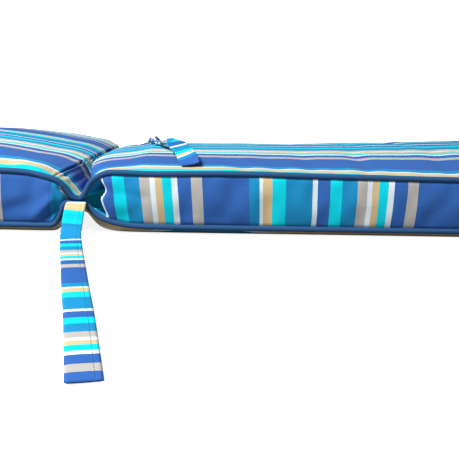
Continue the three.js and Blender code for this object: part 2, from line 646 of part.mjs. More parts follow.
// The origin is the middle of the seat section's underside
const cushion = new THREE.Group();
cushion.position.x = -SEAT_LENGTH / 2;
addPiece(cushion, 'cushion', cushionGeometry(), NAVY_CLOTH);
addPiece(cushion, 'piping_top', pipingGeometry(topFrames, 1), PIPING_CLOTH);
addPiece(cushion, 'piping_bottom', pipingGeometry(bottomFrames, -1), PIPING_CLOTH);
addPiece(cushion, 'tie_front', tieGeometry(FRONT_TIE_ROUTE), TEAL_CLOTH);
addPiece(cushion, 'tie_rear', tieGeometry(REAR_TIE_ROUTE), TEAL_CLOTH);

export default cushion;
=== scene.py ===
# A striped lounge chair cushion in two filled sections, with piping in its edge seams and two flat ties.
import math
import bpy
import numpy as np
from mathutils import Matrix, Vector


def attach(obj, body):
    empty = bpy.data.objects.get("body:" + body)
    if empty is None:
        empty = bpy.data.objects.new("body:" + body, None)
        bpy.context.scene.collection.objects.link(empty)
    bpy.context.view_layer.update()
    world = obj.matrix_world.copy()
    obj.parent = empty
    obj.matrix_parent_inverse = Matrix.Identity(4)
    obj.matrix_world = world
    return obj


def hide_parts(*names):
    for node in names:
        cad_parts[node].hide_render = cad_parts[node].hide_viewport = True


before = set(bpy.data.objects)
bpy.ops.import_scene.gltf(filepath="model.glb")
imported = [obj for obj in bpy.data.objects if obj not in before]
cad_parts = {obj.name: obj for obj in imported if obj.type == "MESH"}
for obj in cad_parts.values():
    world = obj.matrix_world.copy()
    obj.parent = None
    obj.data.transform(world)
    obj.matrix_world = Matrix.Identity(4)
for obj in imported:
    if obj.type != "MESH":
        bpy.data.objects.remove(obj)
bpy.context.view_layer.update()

# Sizes in millimetres. Shapes are worked out with the hinge at x = 0 and moved into the frame at the end.
WIDTH = 560.0
BACK_LENGTH = 660.0
SEAT_LENGTH = 1170.0
BOXING_HEIGHT = 76.0
UNDERSIDE_BULGE = 9.0
CORNER_RADIUS = 55.0
SIDE_DRAW_IN = 5.0
END_DRAW_IN = 9.0
BOXING_BULGE = 4.0
BULGE_REACH = 40.0
PIPING_RADIUS = 4.1
WEB_HALF = 1.5
WEB_SHARE = 0.15
HINGE_PINCH = 8.0
PINCH_REACH = 45.0
EDGE_SHARPNESS = 8
MM = 0.001
HINGE_PLACE = -SEAT_LENGTH / 2
HALF_WIDTH = WIDTH / 2
FULL_HEIGHT = UNDERSIDE_BULGE + BOXING_HEIGHT


def table(columns, *rows):
    """A short table, read by the names of its columns."""
    return dict(zip(columns.split(), np.array(rows, float).T))


# Heights of the piping centres, by the distance from the hinge
PIPING = table(
    "place seat_top seat_bottom back_top back_bottom",
    (0, 46.4, 36.9, 46.4, 36.9),
    (5, 49.8, 37.4, 47.6, 37.6),
    (10, 57.2, 36.8, 50.6, 38.8),
    (15, 67.0, 33.6, 58.0, 40.8),
    (20, 73.0, 29.2, 64.6, 39.0),
    (25, 77.0, 25.0, 69.4, 27.0),
    (30, 80.2, 21.8, 72.8, 16.0),
    (36, 83.0, 19.0, 75.2, 10.0),
    (42, 84.7, 16.8, 77.0, 8.9),
    (50, 85.3, 14.4, 79.2, 9.0),
    (60, 85.3, 12.3, 81.6, 9.0),
    (75, 84.8, 10.3, 84.0, 9.0),
    (100, 84.2, 9.2, 85.2, 9.0),
    (150, 85.2, 9.0, 85.0, 9.0),
    (220, 86.4, 9.0, 84.6, 9.0),
    (340, 85.0, 9.0, 85.2, 9.0),
    (540, 83.6, 9.0, 84.8, 9.0),
    (760, 85.0, 9.0, 85.0, 9.0),
)
HINGE_MIDDLE = (PIPING["seat_top"][0] + PIPING["seat_bottom"][0]) / 2

# The filled shape of each top panel: how high it stands, how far from the hinge it is full, how it
# rounds over to the sides and the hinge, which way its ridge leans, how its rear edge hangs and how
# it fills out further along, where the seat gets as full as the back
CROWNS = {
    "back": dict(height=34.0, reach=200.0, roundness=0.25, skew=0.0, side_fall=0.0,
                 fall_roundness=0.7, droop=0.0, growth=0.0),
    "seat": dict(height=18.0, reach=85.0, roundness=0.65, skew=-0.1, side_fall=1.5,
                 fall_roundness=1.0, droop=11.0, growth=0.9),
}
EDGE_POWER = 1.2
FALL_POWER = 1.1
END_REACH = 150.0
END_POWER = 2.3
END_ROUNDNESS = 0.75
EDGE_RAMP = 4.0
RIDGE_ROUNDING = 0.015
DROOP_START = 60.0
DROOP_REACH = 450.0
GROWTH_START = 330.0
GROWTH_REACH = 330.0

# The crest where each top panel turns down into its wall beside the hinge: its place along the cushion
# and its height, across the width. Between the sides the walls press together and lean over the back.
CREST_AT = {"back": 38.0, "seat": 30.0}
CREST_END = 62.0
CREST_BLEND = 24.0
SLOPE_STEP = 2.0
CRESTS = {
    "back": table(
        "share place height slope",
        (-1.00, -38, 77, 0.75), (-0.97, -34, 78.5, 0.75), (-0.90, -28.5, 81.5, 0.75), (-0.84, -26, 82, 0.7),
        (-0.62, -19.5, 82.5, 0.7), (-0.48, -18, 83, 0.75), (-0.38, -13.5, 83.5, 0.8), (-0.10, -12.5, 82, 0.8),
        (0.20, -9, 81.5, 0.75), (0.44, -8.5, 79, 0.8), (0.66, -6.5, 76.5, 0.9), (0.78, -0.5, 75, 0.95),
        (0.90, 3, 73.5, 1.0), (0.97, -22, 74, 1.0), (1.00, -38, 75.5, 1.0)),
    "seat": table(
        "share place height slope",
        (-1.00, 30, 80, 0.6), (-0.93, 22, 79.5, 0.6), (-0.85, 14, 79, 0.6), (-0.75, 7, 79, 0.6),
        (-0.60, 0, 79.5, 0.6), (-0.38, -8, 80.5, 0.6), (-0.10, -9, 80, 0.6), (0.20, -6, 80, 0.6),
        (0.43, -4, 78, 0.6), (0.65, -2, 75.5, 0.6), (0.80, 5, 73, 0.6), (0.90, 18, 71, 0.6),
        (0.97, 28, 70, 0.6), (1.00, 30, 69.5, 0.6)),
}

# Creases along a crest: how far below it in the wall (above it where below zero), how deep and wide, and
# over which share of the width
CREASES = {
    "back": table("below depth width first last", (0.8, 4.6, 1.1, -0.99, 0.9), (-2.2, -1.5, 1.6, -0.99, 0.9),
                  (3.6, -1.3, 1.3, -0.98, 0.6), (8.0, 3.0, 2.2, -0.98, -0.78), (13.0, -1.2, 2.8, -0.97, -0.7),
                  (19.0, 1.6, 3.0, -0.95, -0.5), (25.0, -1.0, 3.0, -0.95, -0.5)),
    "seat": table("below depth width first last", (0.0, 2.2, 1.4, -0.9, 0.9), (7.0, 1.2, 2.5, -0.95, 0.8)),
}
# Shares of the width over which a crease begins and ends, and how far the cloth moves with its depth
CREASE_RUN_IN, CREASE_RUN_OUT = 0.04, 0.12
CREASE_ALONG, CREASE_DOWN = 0.75, 0.65
CREASE_SHARPNESS = 40
# Small puckers along the creases: waves by the share of the width and by the distance below the crest
CREASE_PUCKERS = table("strength across down phase", (0.3, 58, 0.25, 0), (0.2, 97, -0.3, 1))

# Underside
UNDERSIDE_CURL = 12.0
FLOOR_LEVEL = -2.0
UNDERSIDE_PANEL_REACH = 62.0
SEAM_DROP = 1.0

# How a wall beside the hinge leans back and rises from the sewn web to its crest
WALL_LEAN = 1.1
WALL_ROUNDNESS = 0.4


def clamp01(value):
    return np.clip(value, 0.0, 1.0)


def lerp(a, b, share):
    return a + (b - a) * share


def rise(distance, reach):
    return np.sin(np.pi / 2 * clamp01(distance / reach))


def fall(share, power, roundness):
    return (1 - (1 - clamp01(share)) ** power) ** roundness


def smooth(value):
    value = clamp01(value)
    return value * value * (3 - 2 * value)


def hermite(t, start, end, start_slope, end_slope):
    return (start * (1 - 3 * t ** 2 + 2 * t ** 3) + start_slope * (t - 2 * t ** 2 + t ** 3)
            + end * (3 * t ** 2 - 2 * t ** 3) + end_slope * (t ** 3 - t ** 2))


def flowing(value, rows, key, column):
    """Reads one column of a table by another, smoothly and without overshooting between its rows."""
    places, heights = rows[key], rows[column]
    steps = np.diff(places)
    slopes = np.diff(heights) / steps
    before, after = slopes[:-1], slopes[1:]
    same = before * after > 0
    middle = np.where(same, 2 * before * after / np.where(same, before + after, 1), 0)
    tangents = np.concatenate([[slopes[0]], middle, [slopes[-1]]])
    value = np.clip(value, places[0], places[-1])
    n = np.clip(np.searchsorted(places, value, side="right") - 1, 0, len(steps) - 1)
    t = (value - places[n]) / steps[n]
    return hermite(t, heights[n], heights[n + 1], tangents[n] * steps[n], tangents[n + 1] * steps[n])


def crown_at(x):
    """What the crowns' table says for each place along the cushion."""
    return {key: np.where(x < 0, CROWNS["back"][key], CROWNS["seat"][key]) for key in CROWNS["back"]}


def unit(vectors):
    return vectors / np.linalg.norm(vectors, axis=-1, keepdims=True)


def run_along(points):
    """Length of the way through a row of points, up to each of them."""
    return np.concatenate([[0], np.cumsum(np.linalg.norm(np.diff(points, axis=0), axis=1))])


def length_at(x):
    return np.where(x < 0, BACK_LENGTH, SEAT_LENGTH)


def piping_half_width(x):
    length = length_at(x)
    from_hinge = np.abs(x)
    into_corner = np.maximum(0, from_hinge - (length - CORNER_RADIUS))
    corner = CORNER_RADIUS - np.sqrt(np.maximum(0, CORNER_RADIUS ** 2 - into_corner ** 2))
    draw_in = SIDE_DRAW_IN * np.sin(np.pi * clamp01(from_hinge / length)) ** 2
    pinch = HINGE_PINCH * (1 - rise(from_hinge, PINCH_REACH))
    return HALF_WIDTH - corner - draw_in - pinch


def drawn_end(x, share):
    length = length_at(x)
    near_end = clamp01((np.abs(x) - length + 2 * CORNER_RADIUS) / (2 * CORNER_RADIUS))
    straight_share = share * piping_half_width(x) / HALF_WIDTH
    return x - np.sign(x) * END_DRAW_IN * near_end ** 2 * (1 - straight_share ** 2)


def droop(x, share):
    """The rear edge of the seat hangs lower beside the hinge."""
    distance = np.abs(x)
    depth = crown_at(x)["droop"] * clamp01(share) ** 2
    return depth * rise(distance, DROOP_START) * np.exp(-(distance / DROOP_REACH) ** 2)


def piping_height(x, share, side):
    distance = np.abs(x)
    name = "top" if side > 0 else "bottom"
    back, seat = (flowing(distance, PIPING, "place", f"{part}_{name}") for part in ("back", "seat"))
    return np.where(x < 0, back, seat) - (droop(x, share) if side > 0 else 0)


def crown_height(x, share):
    """Height of the top panel away from the hinge at a share of the width, -1 to 1."""
    crown = crown_at(x)
    distance = np.abs(x)
    from_end = np.maximum(0, length_at(x) - distance)
    skewed = share - crown["skew"] * (1 - share ** 2)
    from_ridge = np.sqrt((skewed ** 2 + RIDGE_ROUNDING) / (1 + RIDGE_ROUNDING))
    across = (1 - np.minimum(from_ridge, 1) ** EDGE_POWER) ** crown["roundness"]
    across = across * rise((1 - np.abs(share)) * HALF_WIDTH, EDGE_RAMP)
    along = fall(distance / crown["reach"], FALL_POWER, crown["fall_roundness"])
    along = along ** (1 + crown["side_fall"] * share ** 2)
    along = along * fall(from_end / END_REACH, END_POWER, END_ROUNDNESS)
    growth = 1 + crown["growth"] * clamp01((distance - GROWTH_START) / GROWTH_REACH)
    at_edge = np.abs(share) ** EDGE_SHARPNESS
    level = lerp(FULL_HEIGHT - droop(x, share), piping_height(x, share, 1), at_edge)
    return level + crown["height"] * across * along * growth


def crease_depth(part, below, share):
    """How deep the creases cut in beside a crest, with small puckers along them."""
    depth = np.zeros_like(share)
    puckers = sum((strength * np.sin(across * share + down * below + phase)
                   for strength, across, down, phase in zip(*CREASE_PUCKERS.values())), 1)
    for place, deep, width, first, last in zip(*CREASES[part].values()):
        within = smooth((share - first) / CREASE_RUN_IN) * smooth((last - share) / CREASE_RUN_OUT)
        depth += within * deep * np.exp(-((below - place) / width) ** 2)
    return depth * puckers


def top_surface(x, share):
    """Place along the cushion and height of the top panel; x counts along the seam at its sides."""
    distance = np.abs(x)
    place, height = x.astype(float).copy(), crown_height(x, share)
    at_edge = np.abs(share) ** EDGE_SHARPNESS
    at_edge = at_edge * (1 - smooth((distance - CREST_END + CREST_BLEND) / CREST_BLEND))
    for part, sign in (("back", -1), ("seat", 1)):
        crest_x, crest_z, slope = (flowing(share, CRESTS[part], "share", name)
                                   for name in ("place", "height", "slope"))
        start, end = CREST_AT[part], sign * CREST_END
        end_z = crown_height(np.full_like(height, end), share)
        beyond_z = crown_height(np.full_like(height, end + sign * SLOPE_STEP), share)
        end_slope = (beyond_z - end_z) / SLOPE_STEP
        above = clamp01((distance - start) / (CREST_END - start))
        run = np.abs(end - crest_x)
        above_x = lerp(crest_x, end, above)
        above_z = hermite(above, crest_z, end_z, slope * run, end_slope * run)
        up_wall = clamp01(distance / start)
        wall_x = crest_x * up_wall ** WALL_LEAN
        rounded = lerp(up_wall, np.sin(np.pi / 2 * up_wall), WALL_ROUNDNESS)
        wall_z = lerp(HINGE_MIDDLE + WEB_HALF, crest_z, rounded)
        depth = crease_depth(part, start - distance, share) * (1 - np.abs(share) ** CREASE_SHARPNESS)
        inner_x = np.where(distance < start, wall_x, above_x) + sign * depth * CREASE_ALONG
        inner_z = np.where(distance < start, wall_z, above_z) - depth * CREASE_DOWN
        here = ((x < 0) if sign < 0 else (x >= 0)) & (distance < CREST_END)
        place = np.where(here, lerp(inner_x, x, at_edge), place)
        height = np.where(here, lerp(inner_z, piping_height(x, share, 1), at_edge), height)
    return place, height


def bottom_height(x, share):
    """Height of the bottom panel: flat on the floor, curling up to the piping and the hinge."""
    from_side = (1 - np.abs(share)) * HALF_WIDTH
    from_end = np.maximum(0, length_at(x) - np.abs(x))
    inwards = clamp01(np.minimum(from_side, from_end) / UNDERSIDE_CURL)
    rounded = 1 - np.sqrt(1 - (1 - inwards) ** 2)
    curl = (UNDERSIDE_BULGE + SEAM_DROP - FLOOR_LEVEL) * rounded + FLOOR_LEVEL
    at_edge = np.abs(share) ** EDGE_SHARPNESS
    middle = lerp(HINGE_MIDDLE - WEB_HALF, FLOOR_LEVEL, rise(np.abs(x), UNDERSIDE_PANEL_REACH))
    at_hinge = lerp(middle, piping_height(x, share, -1), at_edge)
    lowest = lerp(FLOOR_LEVEL, UNDERSIDE_BULGE, at_edge)
    hinge_share = clamp01((at_hinge - lowest) / (HINGE_MIDDLE - WEB_HALF))
    return lerp(curl, at_hinge, hinge_share)


# The grid of the cover: stations along it beside the hinge and places inwards from a side seam
HINGE_STEPS = {
    "back": [0, 2, 4, 6.5, 9, 11.5, 14, 16.5, 18.5, 20, 21.5, 23, 24.5, 26, 27.5, 29, 30.5, 32, 33, 34, 35,
             35.8, 36.5, 37, 37.5, 38, 38.5, 39.2, 40, 41, 42.5, 44, 46, 48.5, 51, 54, 57.5, 61, 65, 70, 75,
             80, 85, 90],
    "seat": [0, 2, 4, 6.5, 9, 11.5, 14, 16.5, 18.5, 20.5, 22, 23.5, 25, 26.5, 27.8, 28.8, 29.5, 30, 30.6,
             31.4, 32.5, 34, 36, 38, 40.5, 43, 46, 49, 52.5, 56, 60, 65, 70, 75, 80, 85, 90],
}
EDGE_STEPS = [0, 1.5, 3.5, 6, 9, 12.5, 17, 22, 28, 35, 44, 54, 66, 80, 96, 114, 134, 156, 180, 205, 230,
              255, 280]
MIDDLE_STEP = 5.5
CORNER_STEPS = 12
BOXING_LEVELS = 14


def section_stations(name, length):
    """Stations from the hinge to a section's end, close together at the hinge and round the corner."""
    start, end = HINGE_STEPS[name][-1], length - CORNER_RADIUS
    count = round((end - start) / MIDDLE_STEP)
    middle = [start + (end - start) * n / count for n in range(1, count + 1)]
    turns = [math.pi / 2 * n / CORNER_STEPS for n in range(1, CORNER_STEPS + 1)]
    return HINGE_STEPS[name] + middle + [end + CORNER_RADIUS * math.sin(turn) for turn in turns]


STATIONS = np.array([-x for x in section_stations("back", BACK_LENGTH)[:0:-1]]
                    + section_stations("seat", SEAT_LENGTH))
HALF_SHARES = [1 - step / HALF_WIDTH for step in EDGE_STEPS]
SHARES = np.array([-share for share in HALF_SHARES] + HALF_SHARES[-2::-1])
LAST_I, LAST_J = len(STATIONS) - 1, len(SHARES) - 1
OUTLINE = ([(i, 0) for i in range(LAST_I)] + [(LAST_I, j) for j in range(LAST_J)]
           + [(i, LAST_J) for i in range(LAST_I, 0, -1)] + [(0, j) for j in range(LAST_J, 0, -1)])
OUT_X = np.array([STATIONS[i] for i, j in OUTLINE])
OUT_SHARE = np.array([SHARES[j] for i, j in OUTLINE])

# The seams: how far the cloth turns round a piping, how deep its stitched line lies as a share of the
# piping's radius, and how the seams of the two pipings open away from the hinge
SEAM_TURN = math.radians(62)
SEAM_DEPTH = 0.8
HINGE_SEAM_ANGLE = math.radians(29)
OPENING_REACH = 30.0
OPENING_START = 0.15


def piping_frames(side):
    """Centre line of a piping with its outward and upward directions and how far the seams stand apart."""
    height = piping_height(OUT_X, OUT_SHARE, side)
    points = np.stack([drawn_end(OUT_X, OUT_SHARE), piping_half_width(OUT_X) * OUT_SHARE, height], 1)
    along = unit(unit(np.roll(points, -1, 0) - points) + unit(points - np.roll(points, 1, 0)))
    outward = unit(np.stack([along[:, 1], -along[:, 0], np.zeros(len(along))], 1))
    upward = unit(np.cross(outward, along)) * side
    opening = clamp01(side * (height - HINGE_MIDDLE) / OPENING_REACH - OPENING_START)
    return points, outward, upward, opening[:, None]


def seam_ring(frames):
    """The cloth's way round the inner side of a piping: panel edge, stitched line, boxing edge."""
    points, outward, upward, opening = frames
    angle = lerp(HINGE_SEAM_ANGLE, np.pi / 4, opening)
    inwards = -outward * np.cos(angle) - upward * np.sin(angle)
    to_panel = -outward * np.sin(angle) + upward * np.cos(angle)
    turned_in = inwards * math.cos(SEAM_TURN)
    turned_off = to_panel * math.sin(SEAM_TURN)
    panel = points + PIPING_RADIUS * (turned_in + turned_off)
    stitched = points + PIPING_RADIUS * SEAM_DEPTH * inwards
    boxing = points + PIPING_RADIUS * (turned_in - turned_off * lerp(WEB_SHARE, 1, opening))
    return panel, stitched, boxing


# How the boxing folds inwards beside the hinge: the depth of the fold by the distance from the hinge,
# and how far its edge wanders along the cushion from the top seam (level 0) to the bottom one (1)
FOLDS = {
    "seat": table("place depth", (0, -24), (5, -36), (11, -44), (17, -42), (21, -34), (24, -22), (27, -8),
                  (29.5, -1.5), (33, 1.2), (38, 1.6), (60, 0)),
    "back": table("place depth", (0, -24), (6, -27), (11, -27), (15, -21), (19, -11), (22, -4.5), (25, -1),
                  (29, 1), (34, 1.2), (60, 0)),
}
FOLD_REACH = 60
FOLD_ROUND_OFF = 0.25
BULGE_ROUND_OFF = 0.6
FOLD_EDGES = {
    "seat": table("level wander", (0, 1), (0.1, 3), (0.33, 9), (0.55, 1.5), (0.75, 5), (0.91, 10), (1, 11)),
    "back": table("level wander", (0, 2), (0.15, 1), (0.35, -4), (0.6, -8), (0.8, -7), (1, -3)),
}
WANDER_REACH = 25.0
# How far the seat's fold reaches back behind its own edge, as a share of its depth past a start
UNDERCUT = 0.32
UNDERCUT_START = 6.0
UNDERCUT_REACH = 14.0
# How far the cloth sags at the bottom of a fold, from which level on, and the depth that sags in full
FOLD_SAG = 9.0
SAG_START = 0.5
SAG_SPAN = 0.43
SAG_DEPTH = 30.0
# Soft troughs, and ridges where the depth is below zero, from one place and height on a side to another.
# The rear side, which lies quieter, gets a share of them.
REAR_SOFTNESS = 0.5
SOFT_FOLDS = table(
    "x0 z0 x1 z1 depth width",
    (-52, 12, -30, 32, 7.5, 6.0),
    (-68, 14, -38, 44, -4.0, 6.5),
    (-100, 30, -66, 44, 2.0, 8.0),
    (-34, 64, -24, 42, 2.2, 5.0),
    (43, 24, 84, 17, 2.4, 5.0),
    (42, 60, 92, 52, 2.0, 6.0),
    (50, 40, 74, 36, -1.2, 6.0),
    (150, 30, 205, 22, 0.9, 8.0),
    (260, 40, 330, 52, 0.8, 12.0),
    (-190, 58, -120, 50, 0.9, 10.0),
)


def soft_fold_depth(x, z):
    depth = np.zeros_like(x)
    for x0, z0, x1, z1, deep, width in zip(*SOFT_FOLDS.values()):
        run = (x1 - x0) ** 2 + (z1 - z0) ** 2
        along = clamp01(((x - x0) * (x1 - x0) + (z - z0) * (z1 - z0)) / run)
        away = np.hypot(x - x0 - along * (x1 - x0), z - z0 - along * (z1 - z0))
        depth += deep * np.exp(-(away / width) ** 2)
    return depth


def fold_depth(part, distance):
    return flowing(distance, FOLDS[part], "place", "depth")


def fold_wander(part, level):
    return flowing(level, FOLD_EDGES[part], "level", "wander")


def fold_run(part, places, wander=0.0):
    """Length of the cloth from the hinge to each place, into the fold and out of it."""
    return run_along(np.stack([places, fold_depth(part, places - wander)], 1))


def boxing_points(top_edge, bottom_edge, outward):
    """Rows of points down the boxing, one column for each place on the outline."""
    on_side = np.array([j in (0, LAST_J) for i, j in OUTLINE])
    distance = np.abs(OUT_X)
    rows = []
    for level in np.linspace(0, 1, BOXING_LEVELS + 1):
        base = lerp(top_edge, bottom_edge, level)
        fold = np.zeros(len(OUT_X))
        for part, here in (("seat", OUT_X >= 0), ("back", OUT_X < 0)):
            wander = fold_wander(part, level) * smooth(distance / WANDER_REACH)
            fold = np.where(here, fold_depth(part, distance - wander), fold)
        arch = math.sin(math.pi * level) if 0 < level < 1 else 0.0
        round_off = arch ** BULGE_ROUND_OFF
        soft = soft_fold_depth(OUT_X, base[:, 2]) * np.where(OUT_SHARE < 0, 1.0, REAR_SOFTNESS)
        bulge = (BOXING_BULGE * rise(distance, BULGE_REACH) - soft * on_side) * round_off
        moved = bulge + fold * on_side * arch ** FOLD_ROUND_OFF
        row = base + outward * moved[:, None]
        undercut = UNDERCUT * np.maximum(0, -fold - UNDERCUT_START) * smooth(distance / UNDERCUT_REACH)
        row[:, 0] += undercut * (OUT_X > 0) * round_off
        if level < 1:
            low = clamp01((level - SAG_START) / SAG_SPAN) ** 2
            row[:, 2] -= FOLD_SAG * clamp01(-fold / SAG_DEPTH) * low * on_side
        rows.append(row)
    return np.stack(rows)


top_frames, bottom_frames = piping_frames(1), piping_frames(-1)
top_ring, bottom_ring = seam_ring(top_frames), seam_ring(bottom_frames)
BOXING = boxing_points(top_ring[2], bottom_ring[2], top_frames[1])


def panel_points(edge, side):
    """A panel's grid of points, its outline taken from the seam."""
    x, share = np.meshgrid(STATIONS, SHARES, indexing="ij")
    into_corner = np.maximum(0, np.abs(x) - (length_at(x) - CORNER_RADIUS)) / CORNER_RADIUS
    inset_y = PIPING_RADIUS * np.sqrt(np.maximum(0, 1 - into_corner ** 2))
    place_x = drawn_end(x, share) - np.sign(x) * PIPING_RADIUS * into_corner
    place_y = (piping_half_width(x) - inset_y) * share
    if side > 0:
        moved, height = top_surface(x, share)
        place_x = place_x + moved - x
    else:
        height = bottom_height(x, share)
    points = np.stack([place_x, place_y, height], -1)
    for k, (i, j) in enumerate(OUTLINE):
        points[i, j] = edge[k]
    return points


TOP = panel_points(top_ring[0], 1)
BOTTOM = panel_points(bottom_ring[0], -1)

# Where the stripes lie. The pattern is counted in millimetres across the stripes, from the front edge
# of the tan stripe that runs along the front seam.
PANEL_CLOTH = 576.0
BOXING_START = 60.0
BOXING_COUNTS = {"seat": 212.2, "back": 53.0}
BOXING_SHEAR = table("place front rear", (-120, 1.5, 0), (-60, 2, 0), (0, 6, 2), (55, 8, 3), (258, 2, 1),
                     (471, -3.7, -1), (700, -2, 0))
SEAM_OFFSETS = table("place top bottom", (-660, 14, -1), (-300, 13.5, -1), (-60, 14, -1), (-25, 17, -1),
                     (10, 20, -1), (40, 21.5, -1), (80, 23, -4), (180, 22, -18), (300, 19, -4), (420, 13, -1),
                     (526, 4, -2), (1170, 4, -2))
# The count at a boxing fold's edge and at the next stripe's edge, how far that one is from the hinge at the
# top seam, and how much further at the bottom one
FOLD_COUNTS = {"seat": dict(edge=244.5, next=220.5, place=47.5, lean=7.0),
               "back": dict(edge=16.0, next=31.0, place=34.0, lean=3.5)}
FOLD_PLACE = {"seat": 27.5, "back": 22.0}
FOLD_STRETCH = 0.8
FOLD_STEP = 0.5


def panel_cloth(points, side):
    """Across-stripe place of each grid point of a panel."""
    steps = np.linalg.norm(np.diff(points, axis=1), axis=2)
    arc = np.concatenate([np.zeros((len(points), 1)), np.cumsum(steps, axis=1)], axis=1)
    offset = flowing(STATIONS, SEAM_OFFSETS, "place", "top" if side > 0 else "bottom")
    return arc / arc[:, -1:] * PANEL_CLOTH - offset[:, None]


def boxing_cloth():
    """Across-stripe place of each boxing column, and one more where the ends of the boxing meet."""
    join = OUTLINE.index((0, LAST_J // 2))
    order = [(join + n) % len(OUTLINE) for n in range(len(OUTLINE) + 1)]
    arc = run_along(BOXING[0][order][:, :2])
    x = OUT_X[order]
    places = np.arange(FOLD_REACH + 1.0)
    across = np.zeros(len(order))
    for part, sign in (("back", -1), ("seat", 1)):
        away = np.where(OUT_SHARE > -1, np.inf, np.abs(OUT_X - sign * BOXING_START))
        start = order.index(int(np.argmin(away)))
        folded = fold_run(part, places) - places
        taken_in = folded[-1] - np.interp(np.abs(x), places, folded)
        counted = BOXING_COUNTS[part] - (arc - arc[start]) + sign * taken_in
        across = np.where((x < 0) if sign < 0 else (x >= 0), counted, across)
    return across, order


def fold_counts(part, level, distance, shear):
    """Across-stripe place beside the hinge, held to the edge of the fold and wound on into it."""
    counts = FOLD_COUNTS[part]
    wander = float(fold_wander(part, level))
    edge = FOLD_PLACE[part] + wander
    beyond = counts["place"] + counts["lean"] * level
    sign = 1 if counts["next"] > counts["edge"] else -1
    deep = np.arange(0.0, edge + FOLD_STEP, FOLD_STEP)
    run = fold_run(part, deep, wander)
    inside = counts["edge"] - sign * (run[-1] - np.interp(distance, deep, run)) * FOLD_STRETCH
    near = lerp(counts["edge"], counts["next"], clamp01((distance - edge) / (beyond - edge)))
    outer = BOXING_COUNTS[part] + shear * (level - 0.5)
    far = lerp(counts["next"], outer, clamp01((distance - beyond) / (BOXING_START - beyond)))
    return np.where(distance < edge, inside, np.where(distance < beyond, near, far))


def grid_quads(values, flip):
    """The values at the four corners of each square of a grid; flip turns the squares over."""
    a, b, c, d = values[:-1, :-1], values[1:, :-1], values[1:, 1:], values[:-1, 1:]
    quads = np.stack([a, d, c, b] if flip else [a, b, c, d], 2)
    return quads.reshape((-1, 4) + values.shape[2:])


def new_object(name, data):
    obj = bpy.data.objects.new(name, data)
    bpy.context.scene.collection.objects.link(obj)
    return obj


def mesh_object(name, points, faces, corners=None):
    """A mesh from points in millimetres about the hinge, faces, and cloth coordinates for each corner."""
    mesh = bpy.data.meshes.new(name)
    moved = (np.asarray(points) + [HINGE_PLACE, 0, -FLOOR_LEVEL]) * MM
    moved[:, 2] = np.maximum(moved[:, 2], 0)
    mesh.from_pydata(moved.tolist(), [], [list(map(int, f)) for f in faces])
    if corners is not None:
        layer = mesh.uv_layers.new(name="cloth")
        layer.data.foreach_set("uv", (np.asarray(corners) * MM).astype(np.float32).ravel())
    mesh.update()
    for polygon in mesh.polygons:
        polygon.use_smooth = True
    return new_object(name, mesh)


# Fine relief of the cover: small puckers along the seams, and what a cloth simulation adds
PUCKER_HEIGHT = 0.55
PUCKER_PLACE = 5.0
PUCKER_REACH = 13.0
PUCKER_EDGE = 3.0
# The waves along a seam are the sum of two, each swayed by a slow one, and swell and fade over WAVE_SWELL
SEAM_WAVES = table("strength length sway slow turns", (0.65, 3.9, 1.4, 27, 1), (0.45, 6.7, -1.1, -45, 2.7))
WAVE_SWELL = 31
WAVE_STRENGTH, WAVE_CHANGE, SWELL_TURNS = 0.6, 0.4, 2.1
# Distances from the hinge at which the puckers begin, and over which they grow to their full height
TOP_PUCKER_START, TOP_PUCKER_FADE = 30.0, 20.0
BOXING_PUCKER_START, BOXING_PUCKER_FADE = 40.0, 25.0
SIM_SPACING = 14.0
# The last gap of the coarser grid may be as small as this share of the spacing
LAST_SPACING = 0.4
SIM_LEVELS = [0, 2, 4, 7, 10, 12, 14]
SIM_HINGE = 58.0
SIM_FRAMES = 20
SIM_GROWTH = 0.012
SIM_CLOTH = dict(quality=6, mass=0.25, tension_stiffness=18, compression_stiffness=18, shear_stiffness=6,
                 bending_stiffness=0.35, shrink_min=-SIM_GROWTH, shrink_max=-SIM_GROWTH,
                 use_pressure=True, uniform_pressure_force=4)
SWELL_PASSES = 6
TOP_PASSES = 4
BOXING_PASSES = 2
LARGEST_MOVE = 6.0
QUIET = table("place share", (-90, 1), (-62, 0), (62, 0), (80, 0.2), (175, 0.25), (240, 1))


def waves(x, phase):
    """Uneven waves along a seam, about -1 to 1."""
    swell = WAVE_STRENGTH + WAVE_CHANGE * np.sin(x / WAVE_SWELL + SWELL_TURNS * phase)
    return swell * sum(strength * np.sin(x / length + sway * np.sin(x / slow + phase) + turns * phase)
                       for strength, length, sway, slow, turns in zip(*SEAM_WAVES.values()))


def beside_seam(away):
    """Strength of the puckers by the distance from a seam: full a little beside it, none on it."""
    return np.exp(-((away - PUCKER_PLACE) / PUCKER_REACH) ** 2) * clamp01(away / PUCKER_EDGE)


def top_puckers():
    x, share = np.meshgrid(STATIONS, SHARES, indexing="ij")
    depth = beside_seam((1 - np.abs(share)) * HALF_WIDTH)
    away = clamp01((np.abs(x) - TOP_PUCKER_START) / TOP_PUCKER_FADE)
    return PUCKER_HEIGHT * depth * waves(x, np.where(share < 0, 0.4, 2.2)) * away


def boxing_puckers():
    below_top = np.linspace(0, 1, BOXING_LEVELS + 1)[:, None] * BOXING_HEIGHT
    place = OUT_X + np.cumsum(np.abs(np.diff(OUT_SHARE, prepend=OUT_SHARE[0]))) * HALF_WIDTH
    above_bottom = BOXING_HEIGHT - below_top
    wave = beside_seam(below_top) * waves(place, 1.3) + beside_seam(above_bottom) * waves(place, 3.1)
    return PUCKER_HEIGHT * wave * clamp01((np.abs(OUT_X) - BOXING_PUCKER_START) / BOXING_PUCKER_FADE)


